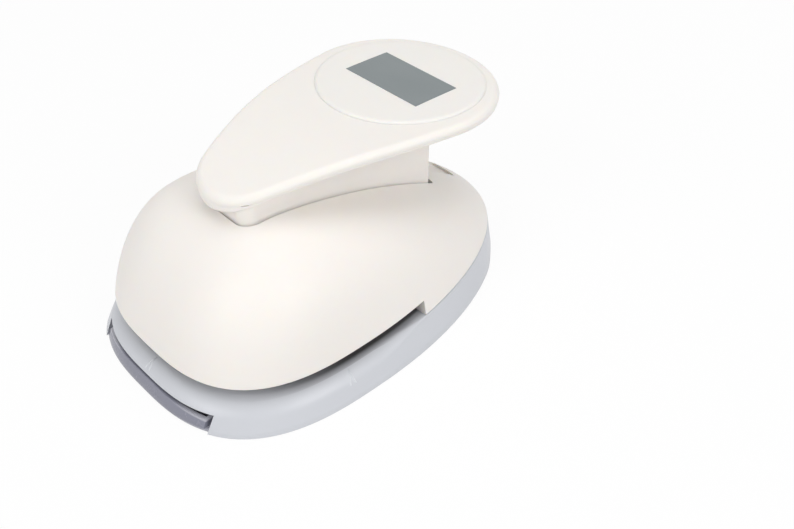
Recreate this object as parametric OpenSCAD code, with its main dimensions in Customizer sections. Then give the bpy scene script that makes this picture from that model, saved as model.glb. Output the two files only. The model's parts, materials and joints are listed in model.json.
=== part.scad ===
// Hand-pressed lever slot punch: a teardrop lever swings on a front pin and drives
// a rectangular blade through a die, and the chips fall into a drawer in the base.
// Millimetres, +Z up, front at -Y, the origin on the table under the middle of the base.

/* [Base] */
// Width of the base across its widest point
base_w = 100; // [96:0.5:106]
// Length of the blunt front part, from the widest point forward
front_len = 58.2; // [56.5:0.1:62]
// Length of the tapering rear part, from the widest point back
rear_len = 89.3; // [87:0.1:94]
// Height of the base rim above the table
rim_z = 10; // [9.9:0.1:11]
// How far the wall leans in at the sides between its foot and the rim
side_draft = 4; // [3:0.1:4.4]
// How far the wall leans in at the front
front_draft = 4.3; // [3:0.1:5]
// How far the wall leans in at the rear
rear_draft = 1.7; // [1:0.1:2.5]
// Rounding of the front ledge's outer edge
ledge_r = 4.5; // [3:0.1:5]
// Wall thickness of the base shell
base_wall = 2.4; // [2:0.1:2.8]
// Thickness of the deck under the rim
deck_t = 2.4; // [2.2:0.1:2.6]
// Height that the rubber feet lift the base off the table
foot_lift = 0.6; // [0.4:0.1:0.8]
// Diameter of a rubber foot
foot_d = 12; // [8:0.5:14]
// Thickness of the bottom plate
plate_t = 1; // [0.9:0.1:1.2]

/* [Cover] */
// Height of the cover's crown above the base rim
cover_rise = 42.2; // [41.5:0.1:46]
// Place of the crown along Y
crown_y = -29.8; // [-31:0.1:-28]
// Wall thickness of the cover
cover_wall = 2.4; // [2:0.1:2.6]
// Height of the paper throat at the cover's lower edge
throat_h = 5.6; // [5.2:0.1:6]
// Where the throat ends along each side
step_y = 9.4; // [7:0.1:12]
// Gap between the lever skirt and the slot in the cover
slot_gap = 1; // [0.8:0.1:1.4]
// Length of the narrow end of the slot, behind the skirt
slot_tail = 18; // [16:0.1:20]
// Width of the narrow end of the slot
slot_tail_w = 12.2; // [10:0.1:16]

/* [Lever] */
// Radius of the lever's wide rear end
lever_rear_r = 33.8; // [33.2:0.1:35]
// Radius of the lever's narrow front end
lever_front_r = 16.6; // [16:0.1:17.4]
// Radius of the lever's long flanks
lever_flank_r = 238; // [200:1:300]
// Centre of the rear round along Y
lever_rear_y = 37.1; // [36:0.1:38.6]
// Centre of the front round along Y
lever_front_y = -23.8; // [-25:0.1:-23]
// Height of the lever's lower edge at the top of its arch
lever_z = 64.2; // [63.4:0.1:66]
// Where the arch is highest along Y
arch_y = 7; // [5:0.5:9]
// Radius of the arch in front of its top
arch_front_r = 147; // [140:1:180]
// Radius of the arch behind its top
arch_rear_r = 890; // [700:10:1200]
// Height of the lever from its lower edge to its top
lever_h = 3.6; // [3.4:0.1:4.4]
// Height of the parting line above the lower edge
parting_h = 1.2; // [1:0.1:1.3]
// Rounding of the lever's top edge
lever_edge_r = 2.2; // [1.6:0.1:2.4]
// Wall thickness of the lever cap
cap_wall = 1.4; // [1.2:0.1:1.6]
// Radius of the raised press disc
disc_r = 28.5; // [26:0.1:29]
// Centre of the press disc along Y
disc_y = 38.4; // [37:0.1:39]
// Height of the press disc above the lever's top
disc_h = 0.8; // [0.7:0.1:1.2]
// Width of the grey icon plate
icon_w = 33.6; // [28:0.1:38]
// Length of the grey icon plate
icon_l = 18.5; // [14:0.1:22]
// Thickness of the icon plate
icon_t = 0.5; // [0.3:0.1:0.6]
// Width of the skirt that goes down through the cover
skirt_w = 25.6; // [25:0.1:26.4]
// Front face of the skirt
skirt_front_y = -36.5; // [-37:0.1:-36]
// Rear face of the skirt
skirt_rear_y = 40; // [37:0.1:41]
// Wall thickness of the skirt
skirt_wall = 2.2; // [2:0.1:2.4]
// Rounding of the skirt's front corners
skirt_corner_r = 5; // [3:0.1:6]

/* [Punch and die] */
// Width of the slot that is punched
die_w = 50.8; // [48:0.1:51.2]
// Length of the slot that is punched
die_l = 25.4; // [22:0.1:25.8]
// Centre of the die along Y
die_y = -24; // [-24.4:0.1:-23.6]
// Clearance of the blade in the die on each side
die_clear = 0.1; // [0.05:0.01:0.15]
// How far the lower die's flange stays inside the base at each side
die_margin = 12.5; // [12:0.1:13]
// How far the upper guide plate stays inside the base at each side
guide_margin = 11; // [10.5:0.1:12]
// Height of the gap that takes the paper
paper_gap = 1.6; // [1.4:0.1:1.8]
// Thickness of the upper guide plate
guide_t = 3; // [2.6:0.1:3.2]
// Height of the blade
blade_h = 14; // [13.6:0.1:14.4]
// Height of the punch holder
holder_h = 5; // [4.6:0.1:5.4]
// Thickness of the wear pad under the press bar
pad_t = 2.5; // [2.2:0.1:2.8]
// Least diameter of a guide post
post_core = 2.66; // [2.4:0.01:2.9]
// What a post gains from the room between the blade and the cover
post_share = 0.24; // [0.22:0.01:0.26]
// Least wire diameter of a return spring
wire_core = 0.505; // [0.4:0.005:0.55]
// What the wire gains from that room
wire_share = 0.05; // [0.045:0.001:0.055]
// Least mean diameter of a return spring
spring_core = 1.33; // [1.2:0.01:1.4]
// What the spring's diameter gains from that room
spring_share = 0.58; // [0.57:0.01:0.6]
// Turns of a return spring
spring_turns = 5; // [4:1:5]

/* [Pivot] */
// Place of the pivot pin along Y
pivot_y = -46; // [-46.5:0.1:-45.5]
// Diameter of the pivot pin
pin_d = 5; // [4:0.1:5.4]
// Diameter of the press bar
bar_d = 7; // [6:0.1:7.4]
// How far the lever swings down, in degrees
lever_swing = 10.5; // [8:0.1:10.5]

/* [Chip tray] */
// Width of the tray between the outsides of its walls
tray_w = 55; // [54.6:0.1:55.4]
// Height of the front cut-out's top above the table
cutout_z = 6.2; // [6:0.1:6.4]
// Width of the front cut-out
cutout_w = 58.6; // [58.2:0.1:59.4]
// Wall thickness of the tray
tray_wall = 1.3; // [1.2:0.1:1.4]
// Rear face of the tray
tray_rear_y = -5; // [-7:0.1:-4.6]

/* [Fits] */
// Running gap between pieces that slide past each other
run_gap = 0.3; // [0.25:0.01:0.4]
// Close gap where a piece is held in its seat
snug = 0.05; // [0.03:0.01:0.08]
// Radial clearance of a pin in its bush
pin_clear = 0.03; // [0.02:0.01:0.06]
// Shank diameter of the screws
screw_d = 3; // [2.8:0.1:3.2]

/* [Hidden] */
$fn = 64;

cream = "#f5f0ea";
lavender = "#d2d5dc";
smoke = "#8f92a1";
icon_grey = "#80898b";
steel = "#b9bdc2";
bronze = "#b08d57";
dark_rubber = "#3a3b3e";
sides = 72;
dome_steps = 13;
nose_n = 2.86;
tail_n = 2.06;
cut = 1;

// Base levels and outline
half_w = base_w / 2;
wide_y = (front_len - rear_len) / 2;
front_y = wide_y - front_len;
plate_top = foot_lift + plate_t;
deck_under = rim_z - deck_t;
base_h = rim_z - foot_lift;
rear_edge_r = 0.4;
foot_chamfer = 0.5;

// Outline point at angle a of an egg with a blunt front and a tapering rear
function spow(v, e) = sign(v) * pow(abs(v), e);
function egg_pt(w, lf, lr, y0, a) =
    let (n = sin(a) < 0 ? nose_n : tail_n, l = sin(a) < 0 ? lf : lr)
    [w * spow(cos(a), 2 / n), y0 + l * spow(sin(a), 2 / n)];
function egg(w, lf, lr, y0) = [for (i = [0:sides - 1]) egg_pt(w, lf, lr, y0, 360 * i / sides)];

// The base outline at height z, set in by d
function base_lean(z) = (z - foot_lift) / base_h;
function base_pt(z, d, a) =
    let (s = base_lean(z))
    egg_pt(half_w - side_draft * s - d, front_len - front_draft * s - d, rear_len - rear_draft * s - d,
           wide_y, a);
function base_outline(z, d) = [for (i = [0:sides - 1]) base_pt(z, d, 360 * i / sides)];
// The ledge is rounded at the front and grows sharp where the cover stands flush on the rim
function ledge_round(y) =
    let (u = max(0, min(1, (step_y - y) / (step_y - wide_y))))
    rear_edge_r + (ledge_r - rear_edge_r) * u * u * (3 - 2 * u);
function base_ring_pt(k, d, a) =
    k == 0 ? concat(base_pt(foot_lift, d + foot_chamfer, a), foot_lift)
    : k == 1 ? concat(base_pt(foot_lift + foot_chamfer, d, a), foot_lift + foot_chamfer)
    : let (r = ledge_round(base_pt(rim_z, d, a)[1]), g = 90 * (k - 2) / 4, z = rim_z - r + r * sin(g))
      concat(base_pt(z, d + r * (1 - cos(g)), a), z);

// Cover: a dome whose outline shrinks level by level from the rim to the crown
rim_w = half_w - side_draft;
rim_front = wide_y - front_len + front_draft;
rim_rear = wide_y + rear_len - rear_draft;
throat_z = rim_z + throat_h;
side_curve = [0.134, 3.165];
front_curve = [0.194, 2.221];
rear_curve = [0.035, 1.488];
function shrink(c, t) = (1 - c[0] * t) * pow(max(0, 1 - pow(t, c[1])), 1 / c[1]);
function dome_level(u) = pow(1 - pow(cos(90 * u), 2.4), 1 / 2.4);
function dome_egg(d, t) =
    let (y0 = wide_y + (crown_y - wide_y) * t,
         yf = crown_y - (crown_y - rim_front - d) * shrink(front_curve, t),
         yr = crown_y + (rim_rear - crown_y - d) * shrink(rear_curve, t))
    [(rim_w - d) * shrink(side_curve, t), y0 - yf, yr - y0, y0];
function dome_ring(d, u) =
    let (t = dome_level(u), e = dome_egg(d, t))
    [for (p = egg(e[0], e[1], e[2], e[3])) [p[0], p[1], rim_z + (cover_rise - d) * t]];
// Half width of the dome at level t and station y, and its height over a point, by halving
function dome_half(d, t, y) =
    let (e = dome_egg(d, t), n = y < e[3] ? nose_n : tail_n, l = y < e[3] ? e[1] : e[2],
         q = abs(y - e[3]) / max(l, 0.001))
    q >= 1 ? 0 : e[0] * pow(1 - pow(q, n), 1 / n);
function halve(d, x, y, lo, hi, k) =
    let (m = (lo + hi) / 2)
    k == 0 ? m : dome_half(d, m, y) > abs(x) ? halve(d, x, y, m, hi, k - 1) : halve(d, x, y, lo, m, k - 1);
function dome_z(d, x, y) = rim_z + (cover_rise - d) * halve(d, x, y, 0, 1, 18);

// Lever: teardrop of three tangent arcs, arched in side view
span = lever_rear_y - lever_front_y;
front_off = lever_flank_r - lever_front_r;
rear_off = lever_flank_r - lever_rear_r;
flank_s = (span * span + pow(front_off, 2) - pow(rear_off, 2)) / (2 * span);
flank_x = sqrt(pow(front_off, 2) - flank_s * flank_s);
flank_y = lever_front_y + flank_s;
rear_turn = atan2(lever_rear_y - flank_y, flank_x);
front_turn = atan2(lever_front_y - flank_y, flank_x);
front_steps = 8;
flank_steps = 10;
rear_steps = 14;
function arc_pts(cx, cy, r, a0, a1, n) =
    [for (i = [0:n - 1]) let (a = a0 + (a1 - a0) * i / n) [cx + r * cos(a), cy + r * sin(a)]];
function tear_half(d) = concat(
    [[0, lever_front_y - lever_front_r + d]],
    [for (i = [1:front_steps - 1]) let (a = -90 + (front_turn + 90) * i / front_steps)
        [(lever_front_r - d) * cos(a), lever_front_y + (lever_front_r - d) * sin(a)]],
    arc_pts(-flank_x, flank_y, lever_flank_r - d, front_turn, rear_turn, flank_steps),
    arc_pts(0, lever_rear_y, lever_rear_r - d, rear_turn, 90, rear_steps),
    [[0, lever_rear_y + lever_rear_r - d]]);
half_n = front_steps + flank_steps + rear_steps;
tear_n = 2 * half_n;
function tear(d) =
    let (h = tear_half(d))
    concat(h, [for (i = [half_n - 1:-1:1]) [-h[i][0], h[i][1]]]);
function arch(y) = lever_z - pow(y - arch_y, 2) / (2 * (y < arch_y ? arch_front_r : arch_rear_r));
function arch_high(y, r) = max(arch(y + r), arch(y - r));
function arch_low(y, r) = min(arch(y + r), arch(y - r));
function tear_ring(d, h) = [for (p = tear(d)) [p[0], p[1], arch(p[1]) + h]];
lever_tip_y = lever_front_y - lever_front_r;
lever_end_y = lever_rear_y + lever_rear_r;
arch_steps = 40;
// Closed strip along the arch between two heights above the lower edge
function arch_strip(y0, y1, h0, h1) = concat(
    [for (i = [0:arch_steps]) let (y = y0 + (y1 - y0) * i / arch_steps) [y, arch(y) + h0]],
    [for (i = [arch_steps:-1:0]) let (y = y0 + (y1 - y0) * i / arch_steps) [y, arch(y) + h1]]);

// Die set levels
die_plate_w = base_w - 2 * die_margin;
guide_w = base_w - 2 * guide_margin;
die_top = rim_z;
die_flange_t = 1.4;
die_flange_z = die_top - die_flange_t;
die_land = 2.5;
die_body_w = die_w + 2 * die_land;
die_lead = 20;
die_back = 40;
die_front_y = die_y - die_lead;
die_rear_y = die_y + die_back;
die_step = 3;
stop_back = 18;
guide_z = die_top + paper_gap;
guide_top = guide_z + guide_t;
stop_y = die_y + stop_back;
blade_lift = 0.5;
blade_z = guide_z + blade_lift;
holder_z = blade_z + blade_h;
holder_top = holder_z + holder_h;
pad_top = holder_top + pad_t;
bar_z = pad_top + run_gap + bar_d / 2;
pivot_z = bar_z;
ear_h = 3.6;
clip_t = 0.8;
clip_rim = 2;
clip_share = 0.3;
bush_proud = 0.3;
bush_wall = 1.2;
clip_z = holder_z + ear_h + bush_proud + run_gap;
post_top = clip_z + 2 * clip_t + snug;
side_level = (clip_z + clip_t - rim_z) / (cover_rise - cover_wall);
side_room = dome_half(cover_wall, side_level, die_y) - die_w / 2;
post_d = post_core + post_share * side_room;
spring_wire = wire_core + wire_share * side_room;
spring_d = spring_core + spring_share * side_room;
ear_r = 0.475 * side_room;
post_x = die_w / 2 + ear_r;
stroke = (die_y - pivot_y) * lever_swing * PI / 180;
die_hole_w = die_w + 2 * die_clear;
die_hole_l = die_l + 2 * die_clear;
screw_edge = 4.1;
screw_inset = 6;
flange_screw_x = die_plate_w / 2 - screw_edge;
flange_front_y = die_front_y + screw_inset;
frame_screw_y = die_rear_y - screw_inset;

// Lever arms and pivot
arm_out = skirt_w / 2;
arm_t = skirt_wall + 0.2;
arm_in = arm_out - arm_t;
boss_r = 4.5;
bush_d = pin_d + 3;
bracket_in = arm_out + bush_proud + run_gap;
bracket_t = 3;
bracket_out = bracket_in + bracket_t;
bracket_lead = 8;
bracket_back = 5;
bracket_base_t = 2;
bracket_front = pivot_y - bracket_lead;
bracket_rear = pivot_y + bracket_back;
bracket_floor = guide_top + bracket_base_t;
bracket_eye_r = 5;
bracket_screw_x = 7;
bracket_screw_in = 3.4;
bracket_screw_ys = [bracket_front + bracket_screw_in, bracket_rear - bracket_screw_in];
clip_d = pin_d + 2 * clip_rim;
bar_bottom = bar_z - bar_d / 2 - 1.6;
arm_low = holder_top + 3.3;
holder_half_l = die_l / 2 + 2.3;
blade_bite = 2 * screw_d;
skirt_low_rear = 27.6;

// Screw places
head_d = 2 * screw_d - 0.4;
head_h = screw_d * 0.66;
boss_d = screw_d + 4.2;
cover_bite = 8;
function pair(x, y) = [[x * base_w, y], [-x * base_w, y]];
bottom_front_y = -14;
bottom_rear_y = 46;
bottom_screw_xy = concat(pair(0.365, bottom_front_y), pair(0.23, bottom_rear_y));
cover_side_y = 24.5;
cover_rear_y = 56;
cover_screw_xy = concat(pair(0.315, cover_side_y), pair(0.15, cover_rear_y));
cover_front_y = -47;
cover_front_xy = pair(0.26, cover_front_y);
lever_screw_x = 5;
lever_screw_ys = [-22, 10, 32];
lever_screw_xy = [for (x = [1, -1], y = lever_screw_ys) [x * lever_screw_x, y]];
punch_screw_xy = [for (x = [-0.37, 0.37], y = [-0.28, 0.28]) [x * die_w, die_y + y * die_l]];
foot_front_y = -40;
foot_rear_y = 58;
foot_xy = concat(pair(0.345, foot_front_y), pair(0.12, foot_rear_y));
lever_screw_d = 2.4;
lever_head_d = 4.4;
lever_head_h = 1.4;

// Tray levels
tray_floor_z = foot_lift + 0.2;
tray_floor_t = 0.8;
tray_top = cutout_z - run_gap;
flange_z = plate_top + run_gap;
flange_t = 1;
tray_flange_w = cutout_w - 2 * run_gap;
tray_recess = 0.3;
tray_gap = 1.25;
tray_dip = 1.05;
tray_side_cut = 4;
well_w = tray_w + 2 * run_gap;
wall_in_w = half_w - side_draft - base_wall;
wall_in_l = front_len - front_draft - base_wall;
front_zone = front_len + cut - wall_in_l * pow(1 - pow(cutout_w / 2 / wall_in_w, nose_n), 1 / nose_n);

// Two triangles between points a, b of one ring and c, d of the next
function quad(a, b, c, d) = [[a, c, b], [b, c, d]];
// Solid between stacked rings, closed flat at both ends
module stacked(rings) {
    n = len(rings[0]);
    m = len(rings);
    polyhedron(
        points = [for (r = rings) for (p = r) p],
        faces = concat(
            [[for (i = [0:n - 1]) i]],
            [for (k = [0:m - 2]) for (i = [0:n - 1]) let (j = (i + 1) % n)
                for (f = quad(k * n + i, k * n + j, (k + 1) * n + i, (k + 1) * n + j)) f],
            [[for (i = [n - 1:-1:0]) (m - 1) * n + i]]));
}

// Shell between an outer and an inner stack of rings, each closed by its own top point
module dome_shell(outer, inner, outer_top, inner_top) {
    n = len(outer[0]);
    a = len(outer);
    b = len(inner);
    top_a = (a + b) * n;
    top_b = top_a + 1;
    function at(k, i) = k * n + i % n;
    polyhedron(
        points = concat([for (r = concat(outer, inner)) for (p = r) p], [outer_top, inner_top]),
        faces = concat(
            [for (k = [0:a - 2]) for (i = [0:n - 1])
                for (f = quad(at(k, i), at(k, i + 1), at(k + 1, i), at(k + 1, i + 1))) f],
            [for (i = [0:n - 1]) [at(a - 1, i), top_a, at(a - 1, i + 1)]],
            [for (k = [a:a + b - 2]) for (i = [0:n - 1])
                for (f = quad(at(k, i + 1), at(k, i), at(k + 1, i + 1), at(k + 1, i))) f],
            [for (i = [0:n - 1]) [at(a + b - 1, i), at(a + b - 1, i + 1), top_b]],
            [for (i = [0:n - 1])
                for (f = quad(at(0, i + 1), at(0, i), at(a, i + 1), at(a, i))) f]));
}

// Faces across a teardrop ring, from its tip to its end, pair by pair
function ladder(base, up) = [for (i = [0:half_n - 1])
    let (a = base + i, b = base + i + 1,
         c = base + (tear_n - i - 1) % tear_n, d = base + (tear_n - i) % tear_n,
         f = i == 0 ? [a, b, c] : i == half_n - 1 ? [a, b, d] : [a, b, c, d])
    up ? [for (q = [len(f) - 1:-1:0]) f[q]] : f];
function ring_band(n, lo, hi) = [for (i = [0:n - 1])
    let (j = (i + 1) % n)
    for (f = quad(lo + i, lo + j, hi + i, hi + j)) f];

// Plate or shell on the teardrop outline; rings run from the lower closing face to the upper one
module tear_stack(rings) {
    m = len(rings);
    n = tear_n;
    polyhedron(
        points = [for (r = rings) for (p = r) p],
        faces = concat(
            ladder(0, false),
            [for (k = [0:m - 2]) for (f = ring_band(n, k * n, (k + 1) * n)) f],
            ladder((m - 1) * n, true)));
}

// Extrude a side view, given as [y, z] points, across the width
module across(w) {
    rotate([90, 0, 90]) linear_extrude(w, center = true) children();
}
module block(x0, x1, y0, y1, z0, z1) {
    translate([x0, y0, z0]) cube([x1 - x0, y1 - y0, z1 - z0]);
}
module rod(x, y, z0, z1, d) {
    translate([x, y, z0]) cylinder(h = z1 - z0, d = d);
}
// Pin along X between two stations
module cross_pin(x0, x1, y, z, d) {
    translate([x0, y, z]) rotate([0, 90, 0]) cylinder(h = x1 - x0, d = d);
}
// Screw with a pan head, pointing up from z_head or down to z_end when it is lower
module screw(x, y, z_head, z_end, d, hd, hh) {
    up = z_end > z_head;
    rod(x, y, min(z_head, z_end), max(z_head, z_end), d);
    translate([x, y, up ? z_head - hh : z_head]) difference() {
        cylinder(h = hh, d = hd);
        translate([0, 0, up ? -cut : hh / 2]) cylinder(h = hh / 2 + cut, d = hd * 0.5, $fn = 6);
    }
}
module base_form(d) {
    stacked([for (k = [0:6]) [for (i = [0:sides - 1]) base_ring_pt(k, d, 360 * i / sides)]]);
}

// Narrow triangles on the ledge that point at the middle of the slot, from the front and both sides
mark_h = 0.2;
mark_w = 2.4;
mark_front = [-66.6, -71.4];
mark_side = [42.6, 47.8];
module centre_marks() {
    polygon([[0, mark_front[0]], [-mark_w / 2, mark_front[1]], [mark_w / 2, mark_front[1]]]);
    for (x = [-1, 1])
        polygon([[x * mark_side[0], die_y - 2], [x * mark_side[1], die_y - 2 - mark_w / 2],
                 [x * mark_side[1], die_y - 2 + mark_w / 2]]);
}

// Base shell: leaning outer wall, deck with the die opening, bosses and tray guides
module base_shell() {
    cover_head_z = plate_top + 1.2 + head_h;
    color(lavender) difference() {
        union() {
            difference() {
                union() {
                    base_form(0);
                    intersection() {
                        translate([0, 0, mark_h]) base_form(-mark_h);
                        linear_extrude(rim_z + cut) centre_marks();
                    }
                }
                translate([0, 0, foot_lift - cut])
                    linear_extrude(deck_under - foot_lift + cut) polygon(base_outline(rim_z, base_wall));
            }
            for (x = [-1, 1], y = [flange_front_y, frame_screw_y])
                rod(x * flange_screw_x, y, plate_top + snug, deck_under + cut, boss_d);
            for (p = bottom_screw_xy) rod(p[0], p[1], plate_top, deck_under + cut, boss_d);
            for (p = cover_screw_xy) rod(p[0], p[1], plate_top + snug, deck_under + cut, boss_d + 1.4);
            for (x = [-1, 1])
                translate([x * (well_w / 2 + base_wall / 2) - base_wall / 2, front_y + front_zone,
                           flange_z + flange_t + run_gap])
                    cube([base_wall, tray_rear_y - front_y - front_zone + run_gap + base_wall,
                          deck_under + cut - flange_z - flange_t - run_gap]);
            block(-well_w / 2 - base_wall, well_w / 2 + base_wall, tray_rear_y + run_gap,
                  tray_rear_y + run_gap + base_wall, plate_top + snug, deck_under + cut);
        }
        block(-cutout_w / 2, cutout_w / 2, front_y - cut, front_y + front_zone, foot_lift - cut, cutout_z);
        block(-die_body_w / 2 - snug, die_body_w / 2 + snug, die_front_y + die_step - snug,
              die_rear_y - die_step + snug, deck_under - cut, rim_z + cut);
        block(-die_plate_w / 2 - snug, die_plate_w / 2 + snug, die_front_y - snug, die_rear_y + snug,
              die_flange_z, rim_z + cut);
        for (x = [-1, 1], y = [flange_front_y, frame_screw_y])
            rod(x * flange_screw_x, y, plate_top - cut, rim_z + cut, screw_d + 2 * snug);
        for (p = bottom_screw_xy) rod(p[0], p[1], plate_top - cut, deck_under, screw_d + 2 * snug);
        for (p = cover_screw_xy) {
            rod(p[0], p[1], plate_top - cut, rim_z + cut, screw_d + 2 * snug);
            rod(p[0], p[1], plate_top - cut, cover_head_z, head_d + 2 * snug);
        }
    }
}

// Flat plate that closes the base from below, open under the tray
module bottom_plate() {
    color(lavender) difference() {
        translate([0, 0, foot_lift]) linear_extrude(plate_t)
            polygon(base_outline(rim_z, base_wall + run_gap));
        block(-well_w / 2, well_w / 2, front_y - cut, tray_rear_y + run_gap,
              foot_lift - cut, plate_top + cut);
        block(-cutout_w / 2, cutout_w / 2, front_y - cut, front_y + front_zone,
              foot_lift - cut, plate_top + cut);
        for (p = bottom_screw_xy) rod(p[0], p[1], foot_lift - cut, plate_top + cut, screw_d + 2 * snug);
        for (p = foot_xy) rod(p[0], p[1], foot_lift - cut, foot_lift + plate_t / 2, foot_d + 2 * snug);
    }
}

// Low head screws that hold the bottom plate
module bottom_screws() {
    low_head = foot_lift - 0.1;
    color(steel) for (p = bottom_screw_xy)
        screw(p[0], p[1], foot_lift, deck_under - 0.6, screw_d, head_d, low_head);
}

// Rubber feet set into the bottom plate
module rubber_feet() {
    color(dark_rubber) for (p = foot_xy) rod(p[0], p[1], 0, foot_lift + plate_t / 2, foot_d);
}

// Lower die: flanged steel plate with the sharp slot
module lower_die() {
    color(steel) difference() {
        union() {
            block(-die_plate_w / 2, die_plate_w / 2, die_front_y, die_rear_y, die_flange_z, die_top);
            block(-die_body_w / 2, die_body_w / 2, die_front_y + die_step, die_rear_y - die_step,
                  deck_under, die_flange_z + snug);
        }
        block(-die_hole_w / 2, die_hole_w / 2, die_y - die_hole_l / 2, die_y + die_hole_l / 2,
              deck_under - cut, die_top + cut);
        for (x = [-1, 1]) {
            rod(x * flange_screw_x, frame_screw_y, die_flange_z - cut, die_top + cut, screw_d + 2 * snug);
            rod(x * flange_screw_x, flange_front_y, die_flange_z - cut, die_top + cut, head_d + 2 * snug);
        }
    }
}

// Flush screws at the front of the lower die
module die_screws() {
    color(steel) for (x = [-1, 1])
        screw(x * flange_screw_x, flange_front_y, die_flange_z, plate_top + 1, screw_d, head_d,
              die_flange_t - 0.1);
}

// Spacer that sets the paper gap and stops the paper
module die_spacer() {
    color(steel) difference() {
        block(-die_plate_w / 2, die_plate_w / 2, stop_y, die_rear_y, die_top, guide_z);
        for (x = [-1, 1])
            rod(x * flange_screw_x, frame_screw_y, die_top - cut, guide_z + cut, screw_d + 2 * snug);
    }
}

// Upper guide: plate that strips the paper and carries the posts and the pivot
module upper_guide() {
    nose_w = 0.6 * base_w;
    nose_y = bracket_front;
    shoulder_y = die_y - die_l / 2 - screw_d / 2;
    color(steel) difference() {
        translate([0, 0, guide_z]) linear_extrude(guide_t) polygon([
            [-guide_w / 2, die_rear_y], [-guide_w / 2, shoulder_y], [-nose_w / 2, nose_y],
            [nose_w / 2, nose_y], [guide_w / 2, shoulder_y], [guide_w / 2, die_rear_y]]);
        block(-die_hole_w / 2, die_hole_w / 2, die_y - die_hole_l / 2, die_y + die_hole_l / 2,
              guide_z - cut, guide_top + cut);
        for (x = [-1, 1]) {
            rod(x * flange_screw_x, frame_screw_y, guide_z - cut, guide_top + cut, screw_d + 2 * snug);
            rod(x * post_x, die_y, guide_z - cut, guide_top + cut, post_d + 2 * snug);
            for (y = bracket_screw_ys)
                rod(x * bracket_screw_x, y, guide_z - cut, guide_top + cut, screw_d + 2 * snug);
        }
        for (p = cover_front_xy) {
            rod(p[0], p[1], guide_z - cut, guide_top + cut, screw_d + 2 * snug);
            rod(p[0], p[1], guide_z - cut, guide_z + head_h, head_d + 2 * snug);
        }
    }
}

// Long screws through the guide, the spacer and the die
module frame_screws() {
    color(steel) for (x = [-1, 1])
        screw(x * flange_screw_x, frame_screw_y, guide_top, plate_top + 1, screw_d, head_d, head_h);
}

// Folded bracket that carries the pivot pin
module pivot_bracket() {
    color(steel) difference() {
        union() {
            block(-bracket_out, bracket_out, bracket_front, bracket_rear, guide_top, bracket_floor);
            for (x = [-1, 1]) translate([x * (bracket_in + bracket_t / 2), 0, 0]) across(bracket_t) {
                translate([pivot_y - bracket_eye_r, guide_top])
                    square([2 * bracket_eye_r, pivot_z - guide_top]);
                translate([pivot_y, pivot_z]) circle(r = bracket_eye_r);
            }
        }
        cross_pin(-bracket_out - cut, bracket_out + cut, pivot_y, pivot_z, pin_d + 2 * snug);
        for (x = [-1, 1], y = bracket_screw_ys)
            rod(x * bracket_screw_x, y, guide_top - cut, bracket_floor + cut, screw_d + 2 * snug);
    }
}

// Screws that hold the bracket down on the guide
module bracket_screws() {
    color(steel) for (x = [-1, 1], y = bracket_screw_ys)
        screw(x * bracket_screw_x, y, bracket_floor, guide_z + 0.3, screw_d, head_d, head_h);
}

// Pivot pin of the lever
module pivot_pin() {
    overhang = clip_t + 0.8;
    color(steel) cross_pin(-bracket_out - overhang, bracket_out + overhang, pivot_y, pivot_z, pin_d);
}

// Spring clips on the ends of the pivot pin
module pivot_clips() {
    color(steel) for (x = [-bracket_out - clip_t - snug, bracket_out + snug]) difference() {
        cross_pin(x, x + clip_t, pivot_y, pivot_z, clip_d);
        cross_pin(x - cut, x + clip_t + cut, pivot_y, pivot_z, pin_d + 2 * snug);
    }
}

// Posts that guide the punch holder
module guide_posts() {
    color(steel) for (x = [-1, 1]) rod(x * post_x, die_y, guide_z, post_top, post_d);
}

// Clips that stop the punch holder at the top of its posts
module post_clips() {
    color(steel) for (x = [-1, 1]) difference() {
        rod(x * post_x, die_y, clip_z, clip_z + clip_t, post_d + clip_share * side_room);
        rod(x * post_x, die_y, clip_z - cut, clip_z + clip_t + cut, post_d + 2 * snug);
    }
}

// Slot in the cover: wide round the skirt, narrow behind it
module slot_shape() {
    rear = skirt_rear_y + 2.5 * slot_gap;
    translate([-skirt_w / 2 - slot_gap, skirt_front_y - slot_gap + skirt_corner_r])
        square([skirt_w + 2 * slot_gap, rear - skirt_front_y + slot_gap - skirt_corner_r]);
    translate([-skirt_w / 2 - slot_gap + skirt_corner_r, skirt_front_y - slot_gap])
        square([skirt_w + 2 * slot_gap - 2 * skirt_corner_r, 2 * skirt_corner_r]);
    for (x = [-1, 1])
        translate([x * (skirt_w / 2 + slot_gap - skirt_corner_r), skirt_front_y - slot_gap + skirt_corner_r])
            circle(r = skirt_corner_r);
    translate([-slot_tail_w / 2, rear - cut]) square([slot_tail_w, slot_tail + cut]);
}

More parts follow.
